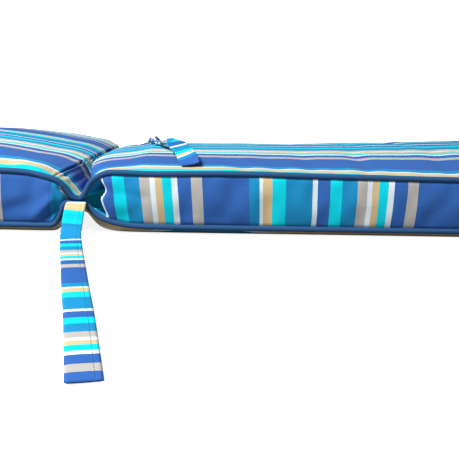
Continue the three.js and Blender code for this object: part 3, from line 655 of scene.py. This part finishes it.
def spaced(values, least):
    """Numbers of the values that stand that far apart, and of the first and the last."""
    kept = [0]
    for n in range(1, len(values) - 1):
        if abs(values[n] - values[kept[-1]]) >= least and abs(values[-1] - values[n]) >= least * LAST_SPACING:
            kept.append(n)
    return kept + [len(values) - 1]


def softened(values, times):
    """Smooths a grid of vectors, its border kept."""
    for _ in range(times):
        inner = (values[:-2] + 2 * values[1:-1] + values[2:]) / 4
        values = np.concatenate([values[:1], inner, values[-1:]])
        inner = (values[:, :-2] + 2 * values[:, 1:-1] + values[:, 2:]) / 4
        values = np.concatenate([values[:, :1], inner, values[:, -1:]], 1)
    return values


def kept_moves(moves):
    """The wrinkles of a simulated grid without its general swelling, and none too large."""
    kept = moves - softened(moves, SWELL_PASSES)
    size = np.linalg.norm(kept, axis=-1, keepdims=True)
    return kept * np.minimum(1, LARGEST_MOVE / np.maximum(size, 1e-6))


def spread_moves(moves, coarse, fine, axis):
    """Moves at the fine places of one axis of a grid, from those at its coarse ones."""
    moves = np.moveaxis(moves, axis, 0)
    flat = moves.reshape(len(moves), -1)
    out = np.stack([np.interp(fine, coarse, flat[:, n]) for n in range(flat.shape[1])], 1)
    return np.moveaxis(out.reshape((len(fine),) + moves.shape[1:]), 0, axis)


def simulate(points, faces, pinned):
    """Blows a cover up a little as cloth, its seams held, and gives back its points."""
    mesh = bpy.data.meshes.new("cover_in_cloth")
    mesh.from_pydata((points * MM).tolist(), [], faces.tolist())
    obj = new_object("cover_in_cloth", mesh)
    group = obj.vertex_groups.new(name="held")
    group.add([int(n) for n in np.flatnonzero(pinned)], 1.0, "REPLACE")
    modifier = obj.modifiers.new("cloth", "CLOTH")
    modifier.settings.vertex_group_mass = group.name
    for name, value in SIM_CLOTH.items():
        setattr(modifier.settings, name, value)
    modifier.settings.effector_weights.gravity = 0
    modifier.collision_settings.use_collision = False
    modifier.point_cache.frame_start, modifier.point_cache.frame_end = 1, SIM_FRAMES
    for step in range(1, SIM_FRAMES + 1):
        bpy.context.scene.frame_set(step)
    shape = obj.evaluated_get(bpy.context.evaluated_depsgraph_get()).to_mesh()
    moved = np.zeros(len(points) * 3, np.float32)
    shape.vertices.foreach_get("co", moved)
    bpy.data.objects.remove(obj)
    bpy.data.meshes.remove(mesh)
    bpy.context.scene.frame_set(1)
    return moved.reshape(-1, 3).astype(float) / MM


def cover_index(shape, band_shape, edge_places):
    """Numbers of a cover's points: its top panel, its bottom panel and the band sewn between them."""
    size = shape[0] * shape[1]
    top = np.arange(size).reshape(shape)
    edge = top[tuple(np.transpose(edge_places))]
    band = 2 * size + np.arange(band_shape[0] * band_shape[1]).reshape(band_shape)
    return top, top + size, np.concatenate([edge[None], band, edge[None] + size])


def settled_moves():
    """Moves of the top panel and the boxing from a coarser cover simulated as cloth."""
    rows = spaced(STATIONS, SIM_SPACING)
    columns = list(range(0, len(SHARES), 2))
    ring = [k for k, (i, j) in enumerate(OUTLINE) if i in rows and j in columns]
    edge_places = [(rows.index(OUTLINE[k][0]), columns.index(OUTLINE[k][1])) for k in ring]
    top, bottom = (panel[np.ix_(rows, columns)].reshape(-1, 3) for panel in (TOP, BOTTOM))
    box = BOXING[np.ix_(SIM_LEVELS, ring)]
    shape, size = (len(rows), len(columns)), len(top)
    top_index, bottom_index, band = cover_index(shape, box.shape[:2], edge_places)
    sheets = ((top_index, False), (bottom_index, True), (np.concatenate([band, band[:, :1]], 1), False))
    faces = np.concatenate([grid_quads(index, flip) for index, flip in sheets])
    points = np.concatenate([top, bottom, box.reshape(-1, 3)])
    pinned = np.zeros(len(points), bool)
    pinned[size:2 * size] = True
    pinned[band[0]] = True
    pinned[:size] |= np.repeat(np.abs(STATIONS[rows]) < SIM_HINGE, len(columns))
    held = np.zeros(box.shape[:2], bool)
    held[0] = held[-1] = True
    held |= (np.abs(OUT_X[ring]) < SIM_HINGE)[None]
    pinned[2 * size:] = held.ravel()
    moves = simulate(points, faces, pinned) - points
    on_top = kept_moves(moves[:size].reshape(shape + (3,)))
    on_top = spread_moves(on_top, STATIONS[rows], STATIONS, 0)
    on_top = softened(spread_moves(on_top, SHARES[columns], SHARES, 1), TOP_PASSES)
    on_box = kept_moves(moves[2 * size:].reshape(box.shape))
    on_box = spread_moves(on_box, np.array(SIM_LEVELS, float), np.arange(BOXING_LEVELS + 1.0), 0)
    on_box = spread_moves(on_box, np.array(ring, float), np.arange(len(OUTLINE), dtype=float), 1)
    return on_top, softened(on_box, BOXING_PASSES)


def relieved():
    """The top panel and the boxing with their fine relief."""
    top, boxing = TOP.copy(), BOXING.copy()
    top[..., 2] += top_puckers()
    boxing += top_frames[1][None] * boxing_puckers()[..., None]
    on_top, on_box = settled_moves()
    quiet = np.interp(STATIONS, QUIET["place"], QUIET["share"])
    top += on_top * quiet[:, None, None]
    boxing += on_box
    return top, boxing


def boxing_values(order, counted):
    """Cloth coordinates of the boxing's rows, and of the two at each seam that its edges are sewn into."""
    at, share_at = OUT_X[order], OUT_SHARE[order]
    front, rear = (np.interp(at, BOXING_SHEAR["place"], BOXING_SHEAR[name]) for name in ("front", "rear"))
    shear = np.where(share_at < 0, front, rear)
    values = []
    for level in [0.0, 0.0] + list(np.linspace(0, 1, BOXING_LEVELS + 1)) + [1.0, 1.0]:
        across = counted + shear * (level - 0.5)
        for part, here in (("back", at < 0), ("seat", at >= 0)):
            here = here & (np.abs(at) < BOXING_START) & (share_at < 0)
            across = np.where(here, fold_counts(part, level, np.abs(at), shear), across)
        values.append(np.stack([across, np.full(len(across), BOXING_HEIGHT * (1 - level))], -1))
    return np.stack(values)


def build_cover():
    """Top panel, bottom panel and boxing as one closed mesh."""
    top, boxing = relieved()
    rows = np.stack([top_ring[1], *boxing, bottom_ring[1]])
    points = np.concatenate([top.reshape(-1, 3), BOTTOM.reshape(-1, 3), rows.reshape(-1, 3)])
    top_index, bottom_index, row_index = cover_index(top.shape[:2], rows.shape[:2], OUTLINE)
    counted, order = boxing_cloth()
    x = np.repeat(STATIONS[:, None], len(SHARES), 1)
    parts = (
        (top_index, np.stack([panel_cloth(TOP, 1), x], -1), False),
        (bottom_index, np.stack([panel_cloth(BOTTOM, -1), x], -1), True),
        (row_index[:, order], boxing_values(order, counted), False),
    )
    faces = np.concatenate([grid_quads(index, flip) for index, values, flip in parts])
    corners = np.concatenate([grid_quads(values, flip) for index, values, flip in parts])
    return mesh_object("cushion_cover", points, faces, corners)


cover = build_cover()

PIPING_SIDES = 14


def tube_index(rings, closed_path):
    """Numbers of the points of a tube's rings, each closed on itself, and the last on the first if a loop."""
    count, sides = rings.shape[:2]
    index = np.arange(count * sides).reshape(count, sides)
    index = np.concatenate([index, index[:, :1]], 1)
    return np.concatenate([index, index[:1]]) if closed_path else index


def piping_object(name, frames, side):
    """A round cord in its cloth all the way round the cushion."""
    points, outward, upward = frames[:3]
    length = run_along(np.concatenate([points, points[:1]]))
    angles = 2 * np.pi * np.arange(PIPING_SIDES) / PIPING_SIDES
    towards = np.cos(angles)[:, None] * outward[:, None] + np.sin(angles)[:, None] * upward[:, None]
    rings = points[:, None] - PIPING_RADIUS * towards
    around = 2 * np.pi * PIPING_RADIUS * np.arange(PIPING_SIDES + 1) / PIPING_SIDES
    values = np.stack(np.meshgrid(length, around, indexing="ij"), -1)
    faces = grid_quads(tube_index(rings, True), side < 0)
    return mesh_object(name, rings.reshape(-1, 3), faces, grid_quads(values, side < 0))


piping_top = piping_object("piping_cord_top", top_frames, 1)
piping_bottom = piping_object("piping_cord_bottom", bottom_frames, -1)

# The ties
TIE_WIDTH = 28.5
TIE_THICKNESS = 2.0
TIE_CLEARANCE = 0.4
TIE_ACROSS = 12
EDGE_BAND = 12.0
PANEL_START = CREST_END - 20
ROOT_CLEARANCE = 3.8
ROOT = -HALF_WIDTH + HINGE_PINCH - ROOT_CLEARANCE
# The cloth of a tie thins towards its edges, and its row of stitches draws in a groove
EDGE_THINNING = 0.65
THINNING_SHARPNESS = 6
SMALLEST_CURL = 0.001
STITCH_SHARE = 0.56
GROOVE_WIDTH = 0.07
GROOVE_DEPTH = 0.45
STITCH_BED = 0.62
STITCH_START = 14.0
STITCH_PITCH = 3.4
STITCH_LENGTH = 2.6
THREAD_RADIUS = 0.45
THREAD_SIDES = 6
# The rings of a stitch: place along it as a share of its length, thickness and lift as shares of the radius
STITCH_SHAPE = [(-0.5, 0.25, -0.6), (-0.3, 0.9, 0.0), (0.0, 1.0, 0.25), (0.3, 0.9, 0.0), (0.5, 0.25, -0.6)]
# The count of the stripes at the front tie's root and at the rear tie's end
FRONT_COUNT = 22.0
REAR_COUNT = 59.0
# Each row: x, y, the lowest height and the least lift over what lies below, then the turn of the width in
# plan, its tilt, the width as a share of the full one, and how far the strip curls round lengthwise
FRONT_ROUTE = table(
    "x y height lift turn tilt width curl",
    (-2.4, ROOT, HINGE_MIDDLE, 0, 0, 0, 0.93, 0),
    (-2.2, -281.5, HINGE_MIDDLE, 0, 0, 0, 0.95, 5),
    (-2.3, -289.5, HINGE_MIDDLE - 3, 0, 0, 0, 1, 10),
    (-3.0, -295, HINGE_MIDDLE - 9.5, 0, -1, 0, 1, 12),
    (-4.6, -299, 20, 0, -1, 0, 1, 8),
    (-5.2, -304.5, 10, 0, -2, 0, 1, 6),
    (-4.6, -314, 4.6, 0, -3, 0, 1, 3),
    (-2.4, -328, 1, 0, -5, 0, 1, 0),
    (1.4, -345, 0, 0.6, -8, 0, 1, 0),
    (12.8, -400, 0, 0.2, -12, 0, 1, 0),
    (30.5, -480, 0, 0, -12.5, 0, 1, 0),
    (48, -560, 0, 0, -12.5, 0, 1, 0),
    (66, -640, 0, 0, -12.5, 0, 1, 0),
    (83, -720, 0, 0, -12, 0, 1, 0),
    (98, -792, 0, 0, -12, 0, 1, 0),
)
REAR_ROUTE = table(
    "x y height lift turn tilt width curl",
    (2, -ROOT, HINGE_MIDDLE, 0, 0, 0, 0.93, 0),
    (3, 281.5, HINGE_MIDDLE + 0.6, 0, 0, -4, 0.95, 0),
    (9, 289, 45.5, 0, 0, -22, 1, 4),
    (26, 291.5, 55, 0, 0, -34, 1, 5),
    (42, 291, 64, 0, 1, -30, 1, 5),
    (54, 290.5, 71.5, 0, 3, -18, 1, 5),
    (61, 287.5, 78.5, 0, 6, -6, 1, 4),
    (65, 279, 81.2, 0, 10, -1, 1, 0),
    (68, 264, 79, 0, 9, 0, 1, 0),
    (72, 226, 0, 0, 6, 0, 1, 0),
    (76, 176, 0, 0, 4, 0, 1, 0),
    (79, 126, 0, 0, 3, 0, 1, 0),
    (80, 84, 0, 0, 3, 0, 0.97, 10),
    (80.5, 52, 0, 0.4, 4, 0, 0.86, 50),
    (81.5, 30, 0, 1.0, 8, 8, 0.8, 130),
    (83, 14, 0, 3.6, 14, 16, 0.85, 230),
    (84.5, 4, 0, 1.2, 20, 22, 0.8, 270),
    (87, -6, 0, 4.4, 22, 26, 0.78, 280),
    (90, -17, 0, 1.0, 28, 30, 0.62, 290),
    (94.5, -32, 0, 1.6, 34, 32, 0.52, 290),
    (101, -52, 0, 2.8, 38, 30, 0.52, 270),
    (107, -71, 0, 6.0, 36, 26, 0.64, 190),
    (113, -87, 0, 10, 32, 18, 0.82, 90),
    (121, -103, 0, 13, 24, 8, 0.96, 20),
    (128, -116, 0, 13.6, 22, 6, 1, 8),
    (132, -125, 0, 10.6, 14, 13, 1, 5),
    (135.5, -142, 0, 9.2, 12, 15, 1, 6),
    (140.5, -162, 0, 9.4, 12, 16, 1, 8),
    (145, -184, 0, 8.6, 11, 19, 1, 10),
    (149.5, -212, 0, 7.0, 15, 25, 1, 16),
    (153, -229, 0, 4.8, 20, 22, 1, 22),
    (156, -244, 0, 2.0, 25, 14, 0.95, 26),
)


def curve_through(rows, steps, keep_spacing):
    """Smooth curve through rows of numbers, with some steps between each two."""
    rows = np.asarray(rows, float)
    before = 2 * rows[0] - rows[1]
    after = 2 * rows[-1] - rows[-2]
    rows = np.concatenate([[before], rows, [after]])
    result = []
    for n in range(1, len(rows) - 2):
        p0, p1, p2, p3 = rows[n - 1:n + 3]
        if keep_spacing:
            d0, d1, d2 = (np.linalg.norm(b - a) ** 0.5 for a, b in ((p0, p1), (p1, p2), (p2, p3)))
            start = ((p1 - p0) / d0 - (p2 - p0) / (d0 + d1) + (p2 - p1) / d1) * d1
            end = ((p2 - p1) / d1 - (p3 - p1) / (d1 + d2) + (p3 - p2) / d2) * d1
        else:
            start, end = 0.5 * (p2 - p0), 0.5 * (p3 - p1)
        last = n == len(rows) - 3
        for step in range(steps + (1 if last else 0)):
            t = step / steps
            square, cube = -3 * p1 + 3 * p2 - 2 * start - end, 2 * p1 - 2 * p2 + start + end
            result.append(p1 + start * t + square * t * t + cube * t ** 3)
    return np.array(result)


def resting_height(x, y):
    """Height at which a strip lies at a place, on the cushion or on the floor."""
    half_width = piping_half_width(x)
    over_panel = np.abs(y) < half_width - EDGE_BAND
    share = np.clip(y / half_width, -1, 1)
    panel = np.where(np.abs(x) > PANEL_START, crown_height(x, share), 0)
    return np.where(over_panel, panel + TIE_CLEARANCE, FLOOR_LEVEL) + TIE_THICKNESS / 2


def tie_frames(route, steps):
    """Middle line of a strip with its direction across, its face, its half width and its curl."""
    places, shape = (curve_through(np.stack([route[name] for name in names.split()], 1), steps, even)
                     for names, even in (("x y height", True), ("lift turn tilt width curl", False)))
    lift, turn, tilt, width, curl = shape.T
    turn, tilt, curl = np.radians(turn), np.radians(tilt), np.radians(np.maximum(curl, 0))
    places[:, 2] = np.maximum(places[:, 2], resting_height(places[:, 0], places[:, 1]) + np.maximum(lift, 0))
    along = unit(np.gradient(places, axis=0))
    across = np.stack([np.cos(turn) * np.cos(tilt), np.sin(turn) * np.cos(tilt), np.sin(tilt)], 1)
    across = unit(across - along * np.sum(across * along, axis=1, keepdims=True))
    face = unit(np.cross(across, along))
    turned = np.cumprod(np.concatenate([[1.0], np.sign(np.sum(face[1:] * face[:-1], axis=1))]))[:, None]
    face = face * turned
    # A third of the way along, both ties lie with this side up
    if face[len(face) // 3, 2] < 0:
        face = -face
    return dict(places=places, across=across, face=face, reach=TIE_WIDTH / 2 * width, curl=curl, along=along)


def strip_points(frames, share, lift):
    """Points of a strip at a share of its width, -1 to 1, lifted off its middle layer."""
    curl = np.maximum(frames["curl"], SMALLEST_CURL)
    radius = frames["reach"] / (curl / 2)
    angle = curl / 2 * share
    out = (radius - lift) * np.sin(angle)
    up = radius - (radius - lift) * np.cos(angle)
    return frames["places"] + frames["across"] * out[:, None] + frames["face"] * up[:, None]


def tie_object(name, frames, root_count, way):
    """A folded flat strip, thinner at its edges and drawn in along its row of stitches."""
    shares = np.linspace(-1, 1, TIE_ACROSS + 1)
    groove = np.exp(-((shares - STITCH_SHARE) / GROOVE_WIDTH) ** 2)
    thickness = TIE_THICKNESS / 2 * (1 - EDGE_THINNING * np.abs(shares) ** THINNING_SHARPNESS)
    thickness = thickness * (1 - GROOVE_DEPTH * groove)
    layers = list(zip(shares, thickness)) + list(zip(shares, -thickness))[::-1]
    rings = np.stack([strip_points(frames, share, lift) for share, lift in layers], 1)
    index = tube_index(rings, False)
    width = np.concatenate([shares, shares[::-1], shares[:1]]) * TIE_WIDTH / 2
    values = np.stack(np.meshgrid(root_count + way * run_along(frames["places"]), width, indexing="ij"), -1)
    first_end, last_end = slice(None, -1), slice(-2, None, -1)
    faces = list(grid_quads(index, False)) + [index[0, first_end], index[-1, last_end]]
    corners = [grid_quads(values, False).reshape(-1, 2), values[0, first_end], values[-1, last_end]]
    return mesh_object(name, rings.reshape(-1, 3), faces, np.concatenate(corners))


front_frames = tie_frames(FRONT_ROUTE, steps=12)
rear_frames = tie_frames(REAR_ROUTE, steps=10)
front_length, rear_length = (float(run_along(frames["places"])[-1]) for frames in (front_frames, rear_frames))
tie_front = tie_object("tie_strip_front", front_frames, FRONT_COUNT, -1)
tie_rear = tie_object("tie_strip_rear", rear_frames, REAR_COUNT - rear_length, 1)


def stitches(name, frames):
    """A row of short thread stitches let into a strip."""
    line = strip_points(frames, STITCH_SHARE, TIE_THICKNESS / 2 * STITCH_BED)
    arc = run_along(line)
    angles = 2 * np.pi * np.arange(THREAD_SIDES)[:, None] / THREAD_SIDES
    points, faces = [], []
    for middle in np.arange(STITCH_START, arc[-1] - STITCH_PITCH, STITCH_PITCH):
        rings = []
        for along_share, width, lift in STITCH_SHAPE:
            at = middle + along_share * STITCH_LENGTH
            centre, up, way = (np.array([np.interp(at, arc, values[:, axis]) for axis in range(3)])
                               for values in (line, frames["face"], frames["along"]))
            up, way = unit(up), unit(way)
            round_thread = np.cross(way, up) * np.cos(angles) + up * np.sin(angles)
            rings.append(centre + THREAD_RADIUS * (width * round_thread + lift * up))
        index = tube_index(np.array(rings), False) + len(points)
        faces.extend(grid_quads(index, True))
        faces.extend([index[0, -2::-1], index[-1, :-1]])
        points.extend(np.concatenate(rings))
    return mesh_object(name, points, faces)


front_stitches = stitches("tie_stitching_front", front_frames)
rear_stitches = stitches("tie_stitching_rear", rear_frames)

# Colours
STRIPES = [
    ("tan", 13.0), ("white", 4.5), ("teal", 13.5), ("navy", 65.0), ("grey", 15.6), ("navy", 19.0),
    ("white", 8.4), ("cyan", 13.6), ("tan", 9.4), ("white", 6.5), ("grey", 15.0), ("teal", 21.0),
    ("cyan", 16.0), ("navy", 18.5), ("white", 6.8), ("teal", 38.0), ("cyan", 19.5),
]
REPEAT = sum(width for colour, width in STRIPES)
COLOURS = {
    "tan": (0xCD, 0xB4, 0x87), "white": (0xD6, 0xE2, 0xE8), "teal": (0x18, 0x86, 0xBA),
    "navy": (0x2F, 0x5F, 0xA8), "grey": (0xB0, 0xAC, 0xA8), "cyan": (0x00, 0xCD, 0xDE),
}
PIPING_COLOUR = (0x2B, 0x51, 0x7C)


# The cloth in metres: how far the stripes' edges wander, the width of a thread and the factor for the bias
EDGE_WANDER = 0.0008
THREAD = 0.00075
DIAGONAL = 0.7071
# How much a thread dips where it passes under, and how much tone and roughness change over the cloth
THREAD_DIP = 0.55
SLOW_TONE, FINE_TONE = 0.14, 0.20
ROUGHNESS_CHANGE = 0.14


def linear(colour):
    values = [c / 255 for c in colour]
    return [c / 12.92 if c <= 0.04045 else ((c + 0.055) / 1.055) ** 2.4 for c in values] + [1.0]


def fill(tree, node, inputs):
    """Links a node's inputs to sockets, or sets them to values."""
    for key, value in inputs.items():
        if isinstance(value, bpy.types.NodeSocket):
            tree.links.new(value, node.inputs[key])
        else:
            node.inputs[key].default_value = value


def add_node(tree, kind, inputs=None, **settings):
    """A shader node with its settings and its inputs."""
    node = tree.nodes.new("ShaderNode" + kind)
    for name, value in settings.items():
        setattr(node, name, value)
    fill(tree, node, inputs or {})
    return node


def calc(tree, operation, *values):
    return add_node(tree, "Math", dict(enumerate(values)), operation=operation).outputs[0]


def swing(tree, value, amount, middle):
    """Turns a value of 0 to 1 into one that swings about a middle."""
    return calc(tree, "MULTIPLY_ADD", value, amount, middle - amount / 2)


def noise(tree, place, scale, detail):
    return add_node(tree, "TexNoise", {"Vector": place, "Scale": scale, "Detail": detail}).outputs[0]


def new_material(name):
    """A material with its node tree and its main shader."""
    material = bpy.data.materials.new(name)
    material.use_nodes = True
    return material, material.node_tree, material.node_tree.nodes["Principled BSDF"]


def new_group(name, inputs, outputs):
    group = bpy.data.node_groups.new(name, "ShaderNodeTree")
    for title, kind, value in inputs:
        socket = group.interface.new_socket(title, in_out="INPUT", socket_type=kind)
        socket.default_value = value
    for title, kind in outputs:
        group.interface.new_socket(title, in_out="OUTPUT", socket_type=kind)
    return group, group.nodes.new("NodeGroupInput"), group.nodes.new("NodeGroupOutput")


def stripes_group():
    """Colour of the striped cloth at a place across and along the stripes, in metres."""
    tree, given, result = new_group(
        "striped cloth",
        [("Across", "NodeSocketFloat", 0.0), ("Along", "NodeSocketFloat", 0.0)],
        [("Color", "NodeSocketColor")],
    )
    place = add_node(tree, "CombineXYZ", {0: given.outputs["Across"], 1: given.outputs["Along"]})
    shift = swing(tree, noise(tree, place.outputs[0], 420.0, 1.0), EDGE_WANDER, 0)
    across = calc(tree, "ADD", given.outputs["Across"], shift)
    share = calc(tree, "DIVIDE", calc(tree, "FLOORED_MODULO", across, REPEAT * MM), REPEAT * MM)
    ramp = add_node(tree, "ValToRGB", {0: share})
    ramp.color_ramp.interpolation = "CONSTANT"
    elements = ramp.color_ramp.elements
    while len(elements) > 1:
        elements.remove(elements[-1])
    start = 0.0
    for n, (colour, width) in enumerate(STRIPES):
        element = elements[0] if n == 0 else elements.new(start / REPEAT)
        element.position = start / REPEAT
        element.color = linear(COLOURS[colour])
        start += width
    tree.links.new(ramp.outputs[0], result.inputs[0])
    return tree


def weave_group():
    """Height of a plain weave at a place across and along, in threads, and its painted shade: darker where a
    thread dips under, and a little darker on every other cell.
    """
    tree, given, result = new_group(
        "plain weave",
        [("Across", "NodeSocketFloat", 0.0), ("Along", "NodeSocketFloat", 0.0)],
        [("Height", "NodeSocketFloat"), ("Painted Shade", "NodeSocketFloat")],
    )
    parts, cells = [], []
    for name in ("Across", "Along"):
        value = given.outputs[name]
        cells.append(calc(tree, "FLOOR", value))
        share = calc(tree, "FRACT", value)
        parts.append(calc(tree, "SINE", calc(tree, "MULTIPLY", share, math.pi)))
    even = calc(tree, "FLOORED_MODULO", calc(tree, "ADD", cells[0], cells[1]), 2.0)
    warp, weft = (calc(tree, "MULTIPLY", over, calc(tree, "MULTIPLY_ADD", under, THREAD_DIP, 1 - THREAD_DIP))
                  for over, under in (parts, parts[::-1]))
    height = add_node(tree, "Mix", {0: even, 2: warp, 3: weft}).outputs[0]
    tree.links.new(height, result.inputs["Height"])
    # Painted shade: the colour darkens where the threads dip under, and a little on every other cell
    shade = calc(tree, "MULTIPLY_ADD", height, 0.26, 0.84)
    tree.links.new(calc(tree, "MULTIPLY_ADD", even, -0.05, shade), result.inputs["Painted Shade"])
    return tree


STRIPED = stripes_group()
WEAVE = weave_group()


def cloth_material(name, colour=None, turned=False, sheen=0.0, roughness=0.82):
    """Woven cloth, striped unless one colour is given; turned puts its weave on the bias."""
    material, tree, shader = new_material(name)
    uv = add_node(tree, "UVMap", uv_map="cloth")
    split = add_node(tree, "SeparateXYZ", {0: uv.outputs[0]})
    across, along = split.outputs[0], split.outputs[1]
    threads = [across, along]
    if turned:
        threads = [calc(tree, "MULTIPLY", calc(tree, way, across, along), DIAGONAL)
                   for way in ("ADD", "SUBTRACT")]
    counts = {key: calc(tree, "DIVIDE", value, THREAD) for key, value in zip(("Across", "Along"), threads)}
    weave = add_node(tree, "Group", counts, node_tree=WEAVE)
    place = add_node(tree, "TexCoord").outputs["Object"]
    slow, fine = noise(tree, place, 7.0, 3.0), noise(tree, place, 900.0, 2.0)
    if colour is None:
        base = add_node(tree, "Group", {"Across": across, "Along": along}, node_tree=STRIPED)
    else:
        base = add_node(tree, "RGB")
        base.outputs[0].default_value = linear(colour)
    # The tone carries the weave's painted shade in its dips, times slow and fine random changes of tone
    tone = calc(tree, "MULTIPLY", weave.outputs["Painted Shade"], swing(tree, slow, SLOW_TONE, 1))
    tone = calc(tree, "MULTIPLY", tone, swing(tree, fine, FINE_TONE, 1))
    spread = add_node(tree, "CombineXYZ", {0: tone, 1: tone, 2: tone})
    shaded = add_node(tree, "VectorMath", {0: base.outputs[0], 1: spread.outputs[0]}, operation="MULTIPLY")
    bump = add_node(tree, "Bump", {"Height": weave.outputs["Height"], "Strength": 0.5, "Distance": 0.0002})
    rough = swing(tree, fine, ROUGHNESS_CHANGE, roughness)
    fill(tree, shader, {"Base Color": shaded.outputs[0], "Normal": bump.outputs[0], "Roughness": rough,
                        "Specular IOR Level": 0.15, "Sheen Weight": sheen, "Sheen Roughness": 0.4})
    return material


def thread_material(name, colour):
    material, tree, shader = new_material(name)
    place = add_node(tree, "TexCoord").outputs["Object"]
    wave = add_node(tree, "TexWave", {"Vector": place, "Scale": 900.0, "Distortion": 1.5})
    ramp = add_node(tree, "ValToRGB", {0: wave.outputs[1]})
    ramp.color_ramp.elements[0].color = [c * 0.6 for c in linear(colour)[:3]] + [1.0]
    ramp.color_ramp.elements[1].color = linear(colour)
    fill(tree, shader, {"Base Color": ramp.outputs[0], "Roughness": 0.7, "Specular IOR Level": 0.3})
    return material


striped_cloth = cloth_material("striped cloth", sheen=0.08)
piping_cloth = cloth_material("piping cloth", PIPING_COLOUR, turned=True)
tie_cloth = cloth_material("tie cloth")
dark_thread = thread_material("dark thread", (0x22, 0x4A, 0x66))

for piece, material, node, slot in (
    (cover, striped_cloth, "cushion", "striped_cloth"),
    (piping_top, piping_cloth, "piping_top", "piping_cloth"),
    (piping_bottom, piping_cloth, "piping_bottom", "piping_cloth"),
    (tie_front, tie_cloth, "tie_front", "tie_cloth"),
    (tie_rear, tie_cloth, "tie_rear", "tie_cloth"),
    (front_stitches, dark_thread, None, "tie_cloth"),
    (rear_stitches, dark_thread, None, "tie_cloth"),
):
    piece.data.materials.append(material)
    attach(piece, "root")
    if node:
        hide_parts(node)

# Floor, light and camera. The floor and the backdrop look white to the camera and give less light back.
FLOOR_SIZE = 60
FLOOR_GAP = 0.0005
FLOOR_GREYS = (0.90, 0.93)
FLOOR_BOUNCE = 0.3
FLOOR_GLOW = 0.88
AMBIENT = 0.16
BACKDROP = 1.2
WHITE = (1, 1, 1, 1)


def camera_sees(tree):
    return add_node(tree, "LightPath").outputs["Is Camera Ray"]


def floor_material():
    material, tree, shader = new_material("floor")
    speckle = add_node(tree, "TexNoise", {"Scale": 3.0, "Detail": 2.0})
    ramp = add_node(tree, "ValToRGB", {0: speckle.outputs[0]})
    for element, grey in zip(ramp.color_ramp.elements, FLOOR_GREYS):
        element.color = (grey, grey, grey, 1)
    seen = camera_sees(tree)
    bounce = (FLOOR_BOUNCE, FLOOR_BOUNCE, FLOOR_BOUNCE, 1)
    base = add_node(tree, "Mix", {0: seen, 6: bounce, 7: ramp.outputs[0]}, data_type="RGBA")
    glow = calc(tree, "MULTIPLY", seen, FLOOR_GLOW)
    fill(tree, shader, {"Base Color": base.outputs[2], "Emission Color": WHITE, "Emission Strength": glow,
                        "Roughness": 0.9, "Specular IOR Level": 0.0})
    return material


def area_light(name, place, target, size, power):
    light = bpy.data.lights.new(name, "AREA")
    light.energy = power
    light.size = size
    obj = new_object(name, light)
    obj.location = place
    obj.rotation_euler = (Vector(target) - Vector(place)).to_track_quat("-Z", "Y").to_euler()


def backdrop():
    world = bpy.data.worlds.new("studio")
    world.use_nodes = True
    tree = world.node_tree
    strength = calc(tree, "MULTIPLY_ADD", camera_sees(tree), BACKDROP - AMBIENT, AMBIENT)
    fill(tree, tree.nodes["Background"], {0: WHITE, 1: strength})
    bpy.context.scene.world = world
    bpy.context.scene.view_settings.view_transform = "Standard"


# The camera's place in metres, how it is turned, and its focal length in pixels of the photo's width
CAMERA_PLACE = Vector((-0.399, -1.267, 0.212))
CAMERA_YAW, CAMERA_PITCH, CAMERA_ROLL = math.radians(1.57), math.radians(-11.61), math.radians(1.33)
FOCAL_PIXELS = 709.7
PHOTO_PIXELS = 459
SENSOR_WIDTH = 36
FARTHEST_SEEN = 40


def photo_camera():
    """A camera that stands and looks as the photo's did."""
    yaw, pitch, roll = CAMERA_YAW, CAMERA_PITCH, CAMERA_ROLL
    forward = Vector((math.sin(yaw) * math.cos(pitch), math.cos(yaw) * math.cos(pitch), math.sin(pitch)))
    level_right = Vector((math.cos(yaw), -math.sin(yaw), 0))
    level_up = level_right.cross(forward)
    right = level_right * math.cos(roll) + level_up * math.sin(roll)
    up = level_up * math.cos(roll) - level_right * math.sin(roll)
    camera = bpy.data.cameras.new("camera")
    camera.sensor_fit = "HORIZONTAL"
    camera.sensor_width = SENSOR_WIDTH
    camera.lens = FOCAL_PIXELS * SENSOR_WIDTH / PHOTO_PIXELS
    camera.clip_end = FARTHEST_SEEN
    obj = new_object("camera", camera)
    obj.matrix_world = Matrix.Translation(CAMERA_PLACE) @ Matrix((right, up, -forward)).transposed().to_4x4()
    bpy.context.scene.camera = obj


bpy.ops.object.select_all(action="DESELECT")
bpy.ops.mesh.primitive_plane_add(size=FLOOR_SIZE, location=(0, 0, -FLOOR_GAP))
floor = bpy.context.object
floor.name = "floor"
floor.data.materials.append(floor_material())
area_light("key light", place=(-1.85, -1.4, 2.2), target=(-0.5, 0.0, 0.05), size=0.8, power=155)
area_light("fill light", place=(-0.3, -2.5, 1.6), target=(-0.2, 0.0, 0.05), size=1.6, power=1)
backdrop()
photo_camera()
